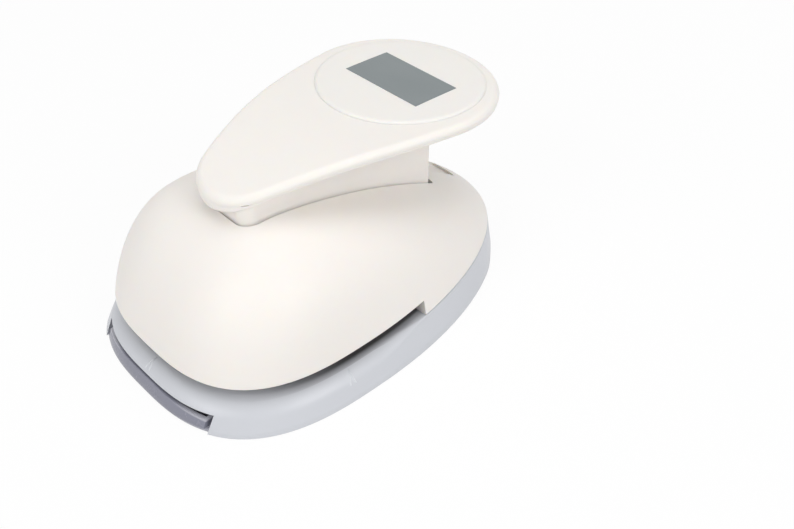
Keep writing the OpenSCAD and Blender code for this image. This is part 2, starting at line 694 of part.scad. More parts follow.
// Cover: dome shell with the paper throat and its end walls, the lever slot and screw bosses
module cover() {
    outer = [for (k = [0:dome_steps - 1]) dome_ring(0, k / dome_steps)];
    inner = [for (k = [0:dome_steps - 3]) dome_ring(cover_wall, k / (dome_steps - 2))];
    color(cream) difference() {
        union() {
            difference() {
                dome_shell(outer, inner, [0, crown_y, rim_z + cover_rise],
                           [0, crown_y, rim_z + cover_rise - cover_wall]);
                block(-half_w, half_w, front_y, step_y, rim_z - cut, throat_z);
                translate([0, 0, throat_z]) linear_extrude(cover_rise) slot_shape();
            }
            intersection() {
                stacked([for (k = [0:dome_steps - 1]) dome_ring(cover_wall / 2, k / dome_steps)]);
                union() {
                    for (p = cover_screw_xy) rod(p[0], p[1], rim_z, rim_z + cover_rise, boss_d);
                    for (p = cover_front_xy) rod(p[0], p[1], guide_top, rim_z + cover_rise, boss_d);
                    for (m = [0, 1]) mirror([m, 0, 0])
                        block(guide_w / 2 + run_gap, half_w, step_y, step_y + cover_wall,
                              rim_z, throat_z + cover_wall);
                }
            }
        }
        for (p = cover_screw_xy) rod(p[0], p[1], rim_z - cut, rim_z + cover_bite, screw_d + 2 * snug);
        for (p = cover_front_xy)
            rod(p[0], p[1], guide_top - cut, guide_top + cover_bite, screw_d + 2 * snug);
    }
}

// Screws from the base up into the cover
module cover_screws() {
    head_z = plate_top + 1.2 + head_h;
    color(steel) for (p = cover_screw_xy)
        screw(p[0], p[1], head_z, rim_z + cover_bite - 1, screw_d, head_d, head_h);
}

// Screws from the upper guide up into the front of the cover
module cover_front_screws() {
    color(steel) for (p = cover_front_xy)
        screw(p[0], p[1], guide_z + head_h, guide_top + cover_bite - 1, screw_d, head_d, head_h);
}

// Skirt outline in plan, set in by d
module skirt_plan(d) {
    r = skirt_corner_r;
    translate([-skirt_w / 2 + d, skirt_front_y + r])
        square([skirt_w - 2 * d, skirt_rear_y - d - skirt_front_y - r]);
    translate([-skirt_w / 2 + r, skirt_front_y + d]) square([skirt_w - 2 * r, r]);
    for (x = [-1, 1]) translate([x * (skirt_w / 2 - r), skirt_front_y + r]) circle(r = r - d);
}

// Lever body: arched pan, skirt through the cover, arms to the pivot and stop lugs
module lever_body() {
    skirt_top = parting_h / 2;
    skirt_run = skirt_rear_y - skirt_front_y + 2 * cut;
    arm_y = die_y + holder_half_l;
    arm_neck = pivot_z + boss_r + 3;
    lug = [6, 2.6, 2];
    lug_z = dome_z(cover_wall, skirt_w / 2 + lug[1], skirt_rear_y) - run_gap;
    color(cream) difference() {
        union() {
            tear_stack([tear_ring(0.5, 0), tear_ring(0.2, 0.4), tear_ring(0.2, parting_h - snug)]);
            intersection() {
                linear_extrude(lever_z + lever_h) difference() {
                    skirt_plan(0);
                    skirt_plan(skirt_wall);
                }
                across(skirt_w + cut) polygon(concat(
                    [[skirt_front_y - cut, pivot_z + boss_r], [die_y, bar_bottom], [arm_y, arm_low],
                     [skirt_rear_y + cut, skirt_low_rear]],
                    [for (i = [arch_steps:-1:0])
                        let (y = skirt_front_y - cut + skirt_run * i / arch_steps)
                        [y, arch(y) + skirt_top]]));
            }
            for (x = [-1, 1]) translate([x * (arm_in + arm_t / 2), 0, 0]) across(arm_t) {
                translate([pivot_y, pivot_z]) circle(r = boss_r);
                polygon([[pivot_y, pivot_z - boss_r], [die_y, bar_bottom], [arm_y, arm_low],
                         [arm_y + 8, pivot_z + boss_r], [skirt_front_y + skirt_corner_r, arm_neck],
                         [pivot_y, pivot_z + boss_r]]);
            }
            for (x = [-1, 1])
                translate([x * (skirt_w / 2 + lug[1] / 2 - cut / 2) - lug[1] / 2 - cut / 2,
                           skirt_rear_y - lug[0], lug_z - lug[2]])
                    cube([lug[1] + cut, lug[0], lug[2]]);
        }
        cross_pin(-arm_out - cut, arm_out + cut, pivot_y, pivot_z, bush_d + 2 * snug);
        cross_pin(-arm_out - cut, arm_out + cut, die_y, bar_z, bar_d + 2 * snug);
        for (p = lever_screw_xy)
            rod(p[0], p[1], arch(p[1]) - cut, arch(p[1]) + parting_h + cut, lever_screw_d + 2 * snug);
    }
}

// Lever cap: rounded top shell of the lever
module lever_cap() {
    r = min(lever_edge_r, lever_h - parting_h - 0.1);
    arc_n = 4;
    roof = lever_h - cap_wall;
    color(cream) difference() {
        union() {
            tear_stack(concat(
                [tear_ring(cap_wall, roof), tear_ring(cap_wall, parting_h), tear_ring(0, parting_h)],
                [for (k = [0:arc_n]) let (a = 90 * k / arc_n)
                    tear_ring(r * (1 - cos(a)), lever_h - r + r * sin(a))]));
            for (p = lever_screw_xy)
                rod(p[0], p[1], arch_high(p[1], lever_screw_d) + parting_h + snug,
                    arch(p[1]) + roof + cap_wall / 2, 2 * lever_screw_d);
        }
        for (p = lever_screw_xy)
            rod(p[0], p[1], arch(p[1]), arch(p[1]) + roof + cap_wall / 3, lever_screw_d + 2 * snug);
    }
}

// Raised round press pad on the rear of the lever
module disc_strip(h0, h1) {
    across(3 * disc_r) polygon(arch_strip(disc_y - disc_r - cut, disc_y + disc_r + cut, h0, h1));
}
module lever_disc() {
    low = lever_h + snug;
    edge = disc_h / 2;
    color(cream) difference() {
        union() {
            intersection() {
                rod(0, disc_y, lever_z - 20, lever_z + 20, 2 * disc_r);
                disc_strip(low, low + disc_h - edge);
            }
            intersection() {
                rod(0, disc_y, lever_z - 20, lever_z + 20, 2 * (disc_r - edge));
                disc_strip(low, low + disc_h);
            }
        }
        intersection() {
            block(-icon_w / 2 - snug, icon_w / 2 + snug,
                  disc_y - icon_l / 2 - snug, disc_y + icon_l / 2 + snug, lever_z - 20, lever_z + 20);
            disc_strip(low + disc_h - icon_t, low + 20);
        }
    }
}

// Grey plate that shows the punched shape
module icon_plate() {
    seat = lever_h + snug + disc_h - icon_t + snug;
    color(icon_grey) intersection() {
        block(-icon_w / 2, icon_w / 2, disc_y - icon_l / 2, disc_y + icon_l / 2, lever_z - 20, lever_z + 20);
        disc_strip(seat, seat + icon_t);
    }
}

// Small screws that hold the cap on the body
module lever_screws() {
    color(steel) for (p = lever_screw_xy) {
        screw(p[0], p[1], arch_low(p[1], lever_head_d / 2) - snug, arch(p[1]) + lever_h - cap_wall,
              lever_screw_d, lever_head_d, lever_head_h);
    }
}

// Bronze bushes in the lever arms
module pivot_bushes() {
    color(bronze) for (x = [-1, 1]) difference() {
        cross_pin(x > 0 ? arm_in : -arm_out - bush_proud, x > 0 ? arm_out + bush_proud : -arm_in,
                  pivot_y, pivot_z, bush_d);
        cross_pin(-arm_out - cut, arm_out + cut, pivot_y, pivot_z, pin_d + 2 * pin_clear);
    }
}

// Steel bar that presses on the wear pad
module press_bar() {
    color(steel) cross_pin(-arm_out, arm_out, die_y, bar_z, bar_d);
}

// Punch blade with its screw holes
module punch_blade() {
    color(steel) difference() {
        block(-die_w / 2, die_w / 2, die_y - die_l / 2, die_y + die_l / 2, blade_z, holder_z);
        for (p = punch_screw_xy)
            rod(p[0], p[1], holder_z - blade_bite - 1, holder_z + cut, screw_d + 2 * snug);
    }
}

// Punch holder: block over the blade with an ear at each post
module punch_holder() {
    block_w = die_w + 1;
    color("dimgray") difference() {
        union() {
            block(-block_w / 2, block_w / 2, die_y - holder_half_l, die_y + holder_half_l,
                  holder_z, holder_top);
            for (x = [-1, 1]) {
                rod(x * post_x, die_y, holder_z, holder_z + ear_h, 2 * ear_r);
                translate([x * post_x / 2 - post_x / 2, die_y - ear_r, holder_z])
                    cube([post_x, 2 * ear_r, ear_h]);
            }
        }
        for (x = [-1, 1])
            rod(x * post_x, die_y, holder_z - cut, holder_top + cut, post_d + 2 * (bush_wall + snug));
        for (p = punch_screw_xy) {
            rod(p[0], p[1], holder_z - cut, holder_top + cut, screw_d + 2 * snug);
            rod(p[0], p[1], holder_top - head_h - 0.4, holder_top + cut, head_d + 2 * snug);
        }
    }
}

// Screws that hold the blade in its holder
module punch_screws() {
    color(steel) for (p = punch_screw_xy)
        screw(p[0], p[1], holder_top - head_h - 0.4, holder_z - blade_bite, screw_d, head_d, head_h);
}

// Hardened pad under the press bar
module wear_pad() {
    pad_w = 2 * arm_in - screw_d;
    pad_l = bar_d + screw_d;
    color(steel) block(-pad_w / 2, pad_w / 2, die_y - pad_l / 2, die_y + pad_l / 2, holder_top, pad_top);
}

// Bronze bushes that run on the posts
module guide_bushes() {
    color(bronze) for (x = [-1, 1]) difference() {
        rod(x * post_x, die_y, holder_z, holder_z + ear_h + bush_proud, post_d + 2 * bush_wall);
        rod(x * post_x, die_y, holder_z - cut, holder_z + ear_h + cut, post_d + 2 * pin_clear);
    }
}

// Return spring: one round wire wound round a post
spring_rings = 8;
spring_sides = 6;
spring_low = guide_top + spring_wire / 2 + snug;
spring_high = holder_z - spring_wire / 2 - snug;
spring_n = spring_turns * spring_rings;
function spring_mid(k) =
    let (a = 360 * k / spring_rings)
    [spring_d / 2 * cos(a), spring_d / 2 * sin(a), spring_low + (spring_high - spring_low) * k / spring_n];
function spring_ring(k) =
    let (a = 360 * k / spring_rings, m = spring_mid(k))
    [for (i = [0:spring_sides - 1]) let (b = 360 * i / spring_sides)
        [m[0] + spring_wire / 2 * cos(b) * cos(a), m[1] + spring_wire / 2 * cos(b) * sin(a),
         m[2] + spring_wire / 2 * sin(b)]];
spring_self_gap = -spring_wire +
    min([for (k = [0:spring_n - spring_rings]) norm(spring_mid(k + spring_rings) - spring_mid(k))]);
echo(spring_self_gap = spring_self_gap);
module return_spring(x) {
    n = spring_sides;
    color(steel) translate([x, die_y, 0]) polyhedron(
        points = [for (k = [0:spring_n]) for (p = spring_ring(k)) p],
        faces = concat(
            [for (i = [1:n - 2]) [0, i, i + 1]],
            [for (k = [0:spring_n - 1]) for (i = [0:n - 1]) let (j = (i + 1) % n)
                for (f = quad(k * n + i, k * n + j, (k + 1) * n + i, (k + 1) * n + j)) f],
            [for (i = [1:n - 2]) [spring_n * n, spring_n * n + i + 1, spring_n * n + i]]));
}

// Chip tray: drawer whose curved front fills the cut-out, with a crowned top edge
module chip_tray() {
    steps = 10;
    half = tray_w / 2 + cut;
    color(smoke, 0.6) difference() {
        intersection() {
            base_form(tray_recess);
            block(-tray_flange_w / 2, tray_flange_w / 2, front_y - cut, tray_rear_y, tray_floor_z, tray_top);
        }
        intersection() {
            base_form(tray_recess + tray_wall);
            block(tray_wall - tray_w / 2, tray_w / 2 - tray_wall, front_y, tray_rear_y - tray_wall,
                  tray_floor_z + tray_floor_t, tray_top + cut);
        }
        translate([0, front_y + front_zone, 0]) rotate([90, 0, 0]) linear_extrude(front_zone + cut)
            polygon(concat([for (i = [-steps:steps]) let (x = i / steps * half)
                [x, cutout_z - tray_gap - tray_dip * pow(2 * x / tray_w, 2)]],
                [[half, tray_top + cut], [-half, tray_top + cut]]));
        for (x = [tray_w / 2, -tray_w / 2 - tray_side_cut]) translate([x, front_y - cut, 0]) {
            translate([0, 0, flange_z + flange_t])
                cube([tray_side_cut, tray_rear_y - front_y + 2 * cut, tray_top]);
            translate([0, front_zone + cut, 0])
                cube([tray_side_cut, tray_rear_y - front_y + cut, flange_z]);
            translate([0, 0, tray_floor_z + tray_floor_t])
                cube([tray_side_cut, front_zone + cut, tray_top + cut]);
        }
    }
}

base_shell();
bottom_plate();
bottom_screws();
rubber_feet();
lower_die();
die_screws();
die_spacer();
upper_guide();
frame_screws();
pivot_bracket();
bracket_screws();
pivot_pin();
pivot_clips();
guide_posts();
post_clips();
cover();
cover_screws();
cover_front_screws();
lever_body();
lever_cap();
lever_disc();
icon_plate();
lever_screws();
pivot_bushes();
press_bar();
punch_blade();
punch_holder();
punch_screws();
wear_pad();
guide_bushes();
return_spring(-post_x);  // return_spring_left
return_spring(post_x);  // return_spring_right
chip_tray();
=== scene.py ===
"""Looks of a hand lever slot punch: cream cover and teardrop lever, pale grey base and smoke chip tray."""
import json
import math

import bmesh
import bpy
import numpy as np
from mathutils import Matrix, Vector


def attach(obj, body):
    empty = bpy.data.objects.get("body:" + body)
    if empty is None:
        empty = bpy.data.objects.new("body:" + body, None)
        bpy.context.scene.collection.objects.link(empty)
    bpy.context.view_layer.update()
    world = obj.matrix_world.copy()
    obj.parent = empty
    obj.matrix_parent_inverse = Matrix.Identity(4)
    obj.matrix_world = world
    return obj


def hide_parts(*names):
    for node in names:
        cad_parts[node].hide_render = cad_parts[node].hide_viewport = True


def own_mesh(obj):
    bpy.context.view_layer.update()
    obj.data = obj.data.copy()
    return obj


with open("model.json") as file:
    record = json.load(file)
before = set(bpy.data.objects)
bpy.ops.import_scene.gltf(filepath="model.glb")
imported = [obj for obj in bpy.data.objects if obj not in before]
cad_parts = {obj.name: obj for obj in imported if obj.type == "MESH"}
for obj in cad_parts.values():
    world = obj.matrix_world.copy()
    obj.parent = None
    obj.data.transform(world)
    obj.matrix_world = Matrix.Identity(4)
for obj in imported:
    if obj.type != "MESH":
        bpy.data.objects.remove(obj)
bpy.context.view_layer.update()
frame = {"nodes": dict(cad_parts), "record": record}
cad = frame["nodes"]

# Sizes in millimetres, as in the part, apart from small fits at the base's foot and rear, the throat's step,
# the skirt's front, the lever slot and the lever's tip
BASE_W, FRONT_LEN, REAR_LEN = 100.0, 58.2, 89.3
RIM_Z, SIDE_DRAFT, FRONT_DRAFT, REAR_DRAFT = 10.0, 4.0, 4.3, 1.7
LEDGE_R, REAR_EDGE_R, FOOT_LIFT, FOOT_CHAMFER = 4.5, 0.4, 0.2, 0.2
BASE_WALL, DECK_UNDER, PLATE_TOP = 2.4, 7.6, 1.6
COVER_RISE, CROWN_Y, COVER_WALL, THROAT_Z, STEP_Y = 42.2, -29.8, 2.4, 15.6, 8.4
SEAM, SEAM_DEPTH, GROOVE, TIP_DROOP, REAR_TUCK = 0.45, 1.4, 0.1, 1.8, 0.9
NOSE_N, TAIL_N = 2.86, 2.06
HALF_W = BASE_W / 2
WIDE_Y = (FRONT_LEN - REAR_LEN) / 2
FRONT_Y = WIDE_Y - FRONT_LEN
RIM_W, RIM_FRONT, RIM_REAR = HALF_W - SIDE_DRAFT, FRONT_Y + FRONT_DRAFT, WIDE_Y + REAR_LEN - REAR_DRAFT
SIDE_CURVE, FRONT_CURVE, REAR_CURVE = (0.134, 3.165), (0.194, 2.221), (0.035, 1.488)
LEVER_REAR_R, LEVER_FRONT_R, LEVER_FLANK_R = 33.8, 16.6, 238.0
LEVER_REAR_Y, LEVER_FRONT_Y, LEVER_Z = 37.1, -23.8, 64.2
ARCH_Y, ARCH_FRONT_R, ARCH_REAR_R = 7.0, 147.0, 890.0
LEVER_H, PARTING_H, LEVER_EDGE_R, CAP_WALL = 3.6, 1.2, 2.2, 1.4
DISC_R, DISC_Y, DISC_H, ICON_W, ICON_L, ICON_T = 28.5, 38.4, 0.8, 33.6, 18.5, 0.5
SKIRT_W, SKIRT_FRONT, SKIRT_REAR, SKIRT_WALL, SKIRT_R = 25.6, -36.2, 40.0, 2.2, 5.0
SLOT_GAP, SLOT_BACK, SLOT_END, SLOT_TAIL_W, SLOT_LIP = 0.6, 2.0, 60.5, 12.2, 4.5
DIE_Y, DIE_PLATE_W, DIE_BODY_W, DIE_FRONT, DIE_REAR, DIE_STEP = -24.0, 75.0, 55.8, -44.0, 16.0, 3.0
DIE_FLANGE_Z, HOLDER_Z, GUIDE_TOP, GUIDE_W, BAR_Z, BAR_D = 8.6, 26.1, 14.6, 78.0, 37.4, 7.0
PIVOT_Y, PIVOT_BOSS_R, BUSH_D = -46.0, 4.5, 8.0
TRAY_W, TRAY_WALL, TRAY_REAR, CUTOUT_W, CUTOUT_Z = 55.0, 1.3, -5.0, 58.6, 6.2
FRONT_ZONE, TRAY_RECESS, TRAY_GAP, TRAY_DIP = 14.23, 0.3, 1.25, 1.05
POST_X, SPRING_D, SPRING_WIRE, SPRING_TURNS = 31.717, 9.044, 1.17, 5
SNUG, RUN_GAP, SCREW_D, HEAD_D, HEAD_H, BOSS_D = 0.05, 0.3, 3.0, 5.6, 1.98, 7.2
FLANGE_SCREWS = [(x, y) for x in (-33.4, 33.4) for y in (-38.0, 10.0)]
BOTTOM_SCREWS = [(x * 36.5, -14.0) for x in (-1, 1)] + [(x * 23.0, 46.0) for x in (-1, 1)]
COVER_SCREWS = [(x * 31.5, 24.5) for x in (-1, 1)] + [(x * 15.0, 56.0) for x in (-1, 1)]
LEVER_SCREWS = [(x, y) for x in (-5.0, 5.0) for y in (-22.0, 10.0, 32.0)]
LEVER_BOSS_R, LEVER_HOLE_D = 2.4, 2.5
MARK_TIP, MARK_GROWTH, MARK_ROOT = 0.12, 1.2, 0.3
RIDGE_PLACE, RIDGE_WIDTH, RIDGE_H, RIDGE_SINK = 0.76, 0.14, 0.17, 0.02
LIP_T, LIP_FIT, LIP_START = 1.5, 0.03, 0.6
RAMP_L, RAMP_T, RAMP_DEPTH, RAMP_STEP, RAMP_BITE = 5.0, 1.4, 1.6, 0.8, 0.7
DROOP_START, DROOP_LEN, DROOP_BEND = -29, 11, 1.6
BLEND_TOP, BLEND_COLUMNS = 34, 34
NOTCH_TURNS, NOTCH_DEPTH, NOTCH_LOW, NOTCH_HIGH = (-47, -39), 1.2, 0.5, 0.1
DISC_EDGE_STRETCH, LUG_REACH, LUG_H, PUNCH_STROKE = 1.8, 2.6, 2, 4.05
TRAY_FLOOR_T, TRAY_FOOT, TRAY_EASE = 0.8, 1.1, 0.00025


# Forms of the base and the cover
def spow(v, e):
    return np.sign(v) * np.abs(v) ** e


def egg(w, lf, lr, y0, a):
    """Egg outline with a blunt front and a tapering rear, at the angles a."""
    front = np.sin(a) < 0
    n = np.where(front, NOSE_N, TAIL_N)
    return w * spow(np.cos(a), 2 / n), y0 + np.where(front, lf, lr) * spow(np.sin(a), 2 / n)


def even_columns(half_count, w, lf, lr):
    """Angles that split half of an egg into equal lengths, mirrored to the other half."""
    dense = np.linspace(-np.pi / 2, np.pi / 2, 8001)
    x, y = egg(w, lf, lr, 0, dense)
    run = np.concatenate([[0], np.cumsum(np.hypot(np.diff(x), np.diff(y)))])
    right = np.interp(np.linspace(0, run[-1], half_count + 1), run, dense)
    return np.concatenate([right, np.pi - right[-2:0:-1]])


def base_outline(z, d, a):
    """Base outline at height z, set in by d."""
    s = (z - FOOT_LIFT) / (RIM_Z - FOOT_LIFT)
    rear = np.clip((np.sin(a) - 0.7) / 0.15, 0, 1)
    tuck = REAR_TUCK * (1 - s) * rear * rear * (3 - 2 * rear)
    return egg(HALF_W - SIDE_DRAFT * s - d - tuck, FRONT_LEN - FRONT_DRAFT * s - d,
               REAR_LEN - REAR_DRAFT * s - d - tuck, WIDE_Y, a)


def ledge_round(a, d=0.0):
    """Rounding of the ledge, which grows sharp where the cover stands flush on the rim."""
    y = base_outline(RIM_Z, d, a)[1]
    u = np.clip((STEP_Y - y) / (STEP_Y - WIDE_Y), 0, 1)
    return REAR_EDGE_R + (LEDGE_R - REAR_EDGE_R) * u * u * (3 - 2 * u)


def ledge_point(turn, a, d=0.0):
    """Point on the rounded ledge; turn 0 is the wall and a quarter turn is the top."""
    r = ledge_round(a, d)
    z = RIM_Z - r + r * np.sin(turn)
    x, y = base_outline(z, d + r * (1 - np.cos(turn)), a)
    return x, y, z + 0 * x


def shrink(curve, t):
    return (1 - curve[0] * t) * np.maximum(0, 1 - t ** curve[1]) ** (1 / curve[1])


def dome_egg(d, t):
    y0 = WIDE_Y + (CROWN_Y - WIDE_Y) * t
    front = CROWN_Y - (CROWN_Y - RIM_FRONT - d) * shrink(FRONT_CURVE, t)
    rear = CROWN_Y + (RIM_REAR - CROWN_Y - d) * shrink(REAR_CURVE, t)
    return (RIM_W - d) * shrink(SIDE_CURVE, t), y0 - front, rear - y0, y0


def dome_half(d, z, y):
    """Half width of the dome at height z and station y."""
    w, lf, lr, y0 = dome_egg(d, (z - RIM_Z) / (COVER_RISE - d))
    n = np.where(y < y0, NOSE_N, TAIL_N)
    q = np.abs(y - y0) / np.where(y < y0, lf, lr)
    return w * np.maximum(0, 1 - q ** n) ** (1 / n)


# Form of the lever
SPAN = LEVER_REAR_Y - LEVER_FRONT_Y
FRONT_OFF, REAR_OFF = LEVER_FLANK_R - LEVER_FRONT_R, LEVER_FLANK_R - LEVER_REAR_R
FLANK_S = (SPAN ** 2 + FRONT_OFF ** 2 - REAR_OFF ** 2) / (2 * SPAN)
FLANK_X, FLANK_Y = math.sqrt(FRONT_OFF ** 2 - FLANK_S ** 2), LEVER_FRONT_Y + FLANK_S
REAR_TURN = math.atan2(LEVER_REAR_Y - FLANK_Y, FLANK_X)
FRONT_TURN = math.atan2(LEVER_FRONT_Y - FLANK_Y, FLANK_X)


def arch(y):
    """Height of the lever's lower edge along its length."""
    return LEVER_Z - (y - ARCH_Y) ** 2 / (2 * np.where(y < ARCH_Y, ARCH_FRONT_R, ARCH_REAR_R))


def teardrop(d):
    """Right half of the lever's outline from its tip to its end, set in by d."""
    front = np.linspace(-np.pi / 2, FRONT_TURN, 22)[:-1]
    flank = np.linspace(FRONT_TURN, REAR_TURN, 64)[:-1]
    rear = np.linspace(REAR_TURN, np.pi / 2, 60)
    x = np.concatenate([(LEVER_FRONT_R - d) * np.cos(front), -FLANK_X + (LEVER_FLANK_R - d) * np.cos(flank),
                        (LEVER_REAR_R - d) * np.cos(rear)])
    y = np.concatenate([LEVER_FRONT_Y + (LEVER_FRONT_R - d) * np.sin(front),
                        FLANK_Y + (LEVER_FLANK_R - d) * np.sin(flank),
                        LEVER_REAR_Y + (LEVER_REAR_R - d) * np.sin(rear)])
    x[0] = x[-1] = 0
    return x, y


# Mesh making
class Moulding:
    """Points and faces of one piece, gathered in millimetres."""

    def __init__(self):
        self.points, self.faces = [], []

    def ring(self, x, y, z):
        start = len(self.points)
        x, y, z = np.broadcast_arrays(x, y, z)
        self.points.extend(np.stack([x, y, z], 1).tolist())
        return list(range(start, len(self.points)))

    def band(self, low, high, closed=True):
        n = len(low)
        for i in range(n if closed else n - 1):
            j = (i + 1) % n
            self.faces.append((low[i], low[j], high[j], high[i]))

    def fan(self, ring, tip):
        n = len(ring)
        self.faces.extend((ring[i], ring[(i + 1) % n], tip) for i in range(n))

    def rungs(self, ring):
        """Closes a ring that is the same on both sides of its middle line."""
        n, half = len(ring), len(ring) // 2
        for i in range(half):
            face = [ring[i], ring[i + 1], ring[(n - i - 1) % n], ring[(n - i) % n]]
            self.faces.append(tuple(dict.fromkeys(face)))

    def shape(self, name):
        mesh = bpy.data.meshes.new(name)
        mesh.from_pydata((np.array(self.points) * 0.001).tolist(), [], self.faces)
        tidy = bmesh.new()
        tidy.from_mesh(mesh)
        bmesh.ops.recalc_face_normals(tidy, faces=tidy.faces)
        tidy.to_mesh(mesh)
        tidy.free()
        piece = bpy.data.objects.new(name, mesh)
        bpy.context.scene.collection.objects.link(piece)
        return piece


def stacked(name, rings):
    """Solid between stacked rings of x, y, z."""
    m = Moulding()
    rows = [m.ring(*r) for r in rings]
    for low, high in zip(rows, rows[1:]):
        m.band(low, high)
    m.faces += [tuple(rows[0][::-1]), tuple(rows[-1])]
    return m.shape(name)


def prism(outline, z0, z1):
    """Upright solid over an outline of x, y points."""
    p = np.array(outline, float)
    return stacked("tool", [(p[:, 0], p[:, 1], z0), (p[:, 0], p[:, 1], z1)])


def across(profile, x0, x1):
    """Solid between two stations of x with a side view of y, z points."""
    p = np.array(profile, float)
    return stacked("tool", [(x0, p[:, 0], p[:, 1]), (x1, p[:, 0], p[:, 1])])


def along(profile, y0, y1):
    """Solid between two stations of y with a front view of x, z points."""
    p = np.array(profile, float)
    return stacked("tool", [(p[:, 0], y0, p[:, 1]), (p[:, 0], y1, p[:, 1])])


def block(x0, x1, y0, y1, z0, z1):
    return prism([(x0, y0), (x1, y0), (x1, y1), (x0, y1)], z0, z1)


def disc_points(x, y, d, n=48):
    g = np.linspace(0, 2 * np.pi, n, endpoint=False)
    return np.stack([x + d / 2 * np.cos(g), y + d / 2 * np.sin(g)], 1)


def rods(places, z0, z1, d):
    """Upright rods at several places as one tool."""
    return together([prism(disc_points(x, y, d), z0, z1) for x, y in places])


def cross_rod(y, z, d, x0, x1):
    return across(disc_points(y, z, d), x0, x1)


def together(pieces):
    """Several solids that don't touch, as one object."""
    whole = bmesh.new()
    for p in pieces:
        whole.from_mesh(p.data)
        bpy.data.objects.remove(p)
    mesh = bpy.data.meshes.new("tool")
    whole.to_mesh(mesh)
    whole.free()
    tool = bpy.data.objects.new("tool", mesh)
    bpy.context.scene.collection.objects.link(tool)
    return tool


def shape_with(piece, how, *tools):
    """Cuts tools from a piece, adds them to it or keeps only what lies in them."""
    for tool in tools:
        step = piece.modifiers.new("step", "BOOLEAN")
        step.operation, step.object, step.solver = how, tool, "EXACT"
        made = bpy.data.meshes.new_from_object(piece.evaluated_get(bpy.context.evaluated_depsgraph_get()))
        piece.modifiers.clear()
        made.name = piece.name
        piece.data = made
        bpy.data.objects.remove(tool)
    return piece


def smooth(piece, degrees=32):
    for p in piece.data.polygons:
        p.use_smooth = True
    piece.data.set_sharp_from_angle(angle=math.radians(degrees))
    return piece


def edge_steps(r, n):
    """Inset and drop along a rounded edge of radius r."""
    g = np.radians(np.linspace(0, 90, n + 1))
    return [(r * (1 - math.cos(a)), r * (1 - math.sin(a))) for a in g]


# Base shell
def base_form(d, columns, name="tool", foot=FOOT_CHAMFER):
    a = columns
    rings = []
    for inset, z in ((foot, 0.0), (0.3 * foot, 0.3 * foot), (0.0, foot)):
        rings.append((*base_outline(FOOT_LIFT + z, d + inset, a), FOOT_LIFT + z))
    low = RIM_Z - ledge_round(a, d)
    for share in (0.35, 0.7):
        z = FOOT_LIFT + foot + (low - FOOT_LIFT - foot) * share
        rings.append((*base_outline(z, d, a), z))
    for turn in np.radians(np.linspace(0, 90, 13)):
        rings.append(ledge_point(turn, a, d))
    return stacked(name, rings)


BASE_COLUMNS = even_columns(150, RIM_W, RIM_FRONT * -1 + WIDE_Y, RIM_REAR - WIDE_Y)


def make_base_shell():
    shell = base_form(0.0, BASE_COLUMNS, "base_shell_moulding")
    inside = np.stack(base_outline(RIM_Z, BASE_WALL, BASE_COLUMNS), 1)
    well, rail_low = TRAY_W / 2 + RUN_GAP, PLATE_TOP + RUN_GAP + 1 + RUN_GAP
    shape_with(shell, "DIFFERENCE", prism(inside, FOOT_LIFT - 1, DECK_UNDER))
    shape_with(shell, "UNION",
               rods(FLANGE_SCREWS + BOTTOM_SCREWS, PLATE_TOP + SNUG, DECK_UNDER + 1, BOSS_D),
               rods(COVER_SCREWS, PLATE_TOP + SNUG, DECK_UNDER + 1, BOSS_D + 1.4),
               together([block(x, x + BASE_WALL, FRONT_Y + FRONT_ZONE, TRAY_REAR + RUN_GAP + BASE_WALL,
                               rail_low, DECK_UNDER + 1) for x in (well, -well - BASE_WALL)]),
               block(-well - BASE_WALL, well + BASE_WALL, TRAY_REAR + RUN_GAP,
                     TRAY_REAR + RUN_GAP + BASE_WALL, PLATE_TOP + SNUG, DECK_UNDER + 1))
    shape_with(shell, "DIFFERENCE",
               block(-CUTOUT_W / 2, CUTOUT_W / 2, FRONT_Y - 1, FRONT_Y + FRONT_ZONE, FOOT_LIFT - 1, CUTOUT_Z),
               block(-DIE_BODY_W / 2 - SNUG, DIE_BODY_W / 2 + SNUG, DIE_FRONT + DIE_STEP - SNUG,
                     DIE_REAR - DIE_STEP + SNUG, DECK_UNDER - 1, RIM_Z + 1),
               block(-DIE_PLATE_W / 2 - SNUG, DIE_PLATE_W / 2 + SNUG, DIE_FRONT - SNUG, DIE_REAR + SNUG,
                     DIE_FLANGE_Z, RIM_Z + 1),
               rods(FLANGE_SCREWS + COVER_SCREWS, PLATE_TOP - 1, RIM_Z + 1, SCREW_D + 2 * SNUG),
               rods(BOTTOM_SCREWS, PLATE_TOP - 1, DECK_UNDER, SCREW_D + 2 * SNUG),
               rods(COVER_SCREWS, PLATE_TOP - 1, PLATE_TOP + 1.2 + HEAD_H, HEAD_D + 2 * SNUG))
    return smooth(shell, 28)


def egg_angle(x, y, d=0.0, z=RIM_Z):
    """Angle on the base outline whose point lies nearest to x, y."""
    a = np.linspace(-np.pi / 2, 3 * np.pi / 2, 20001)
    ox, oy = base_outline(z, d, a)
    return a[np.argmin((ox - x) ** 2 + (oy - y) ** 2)]


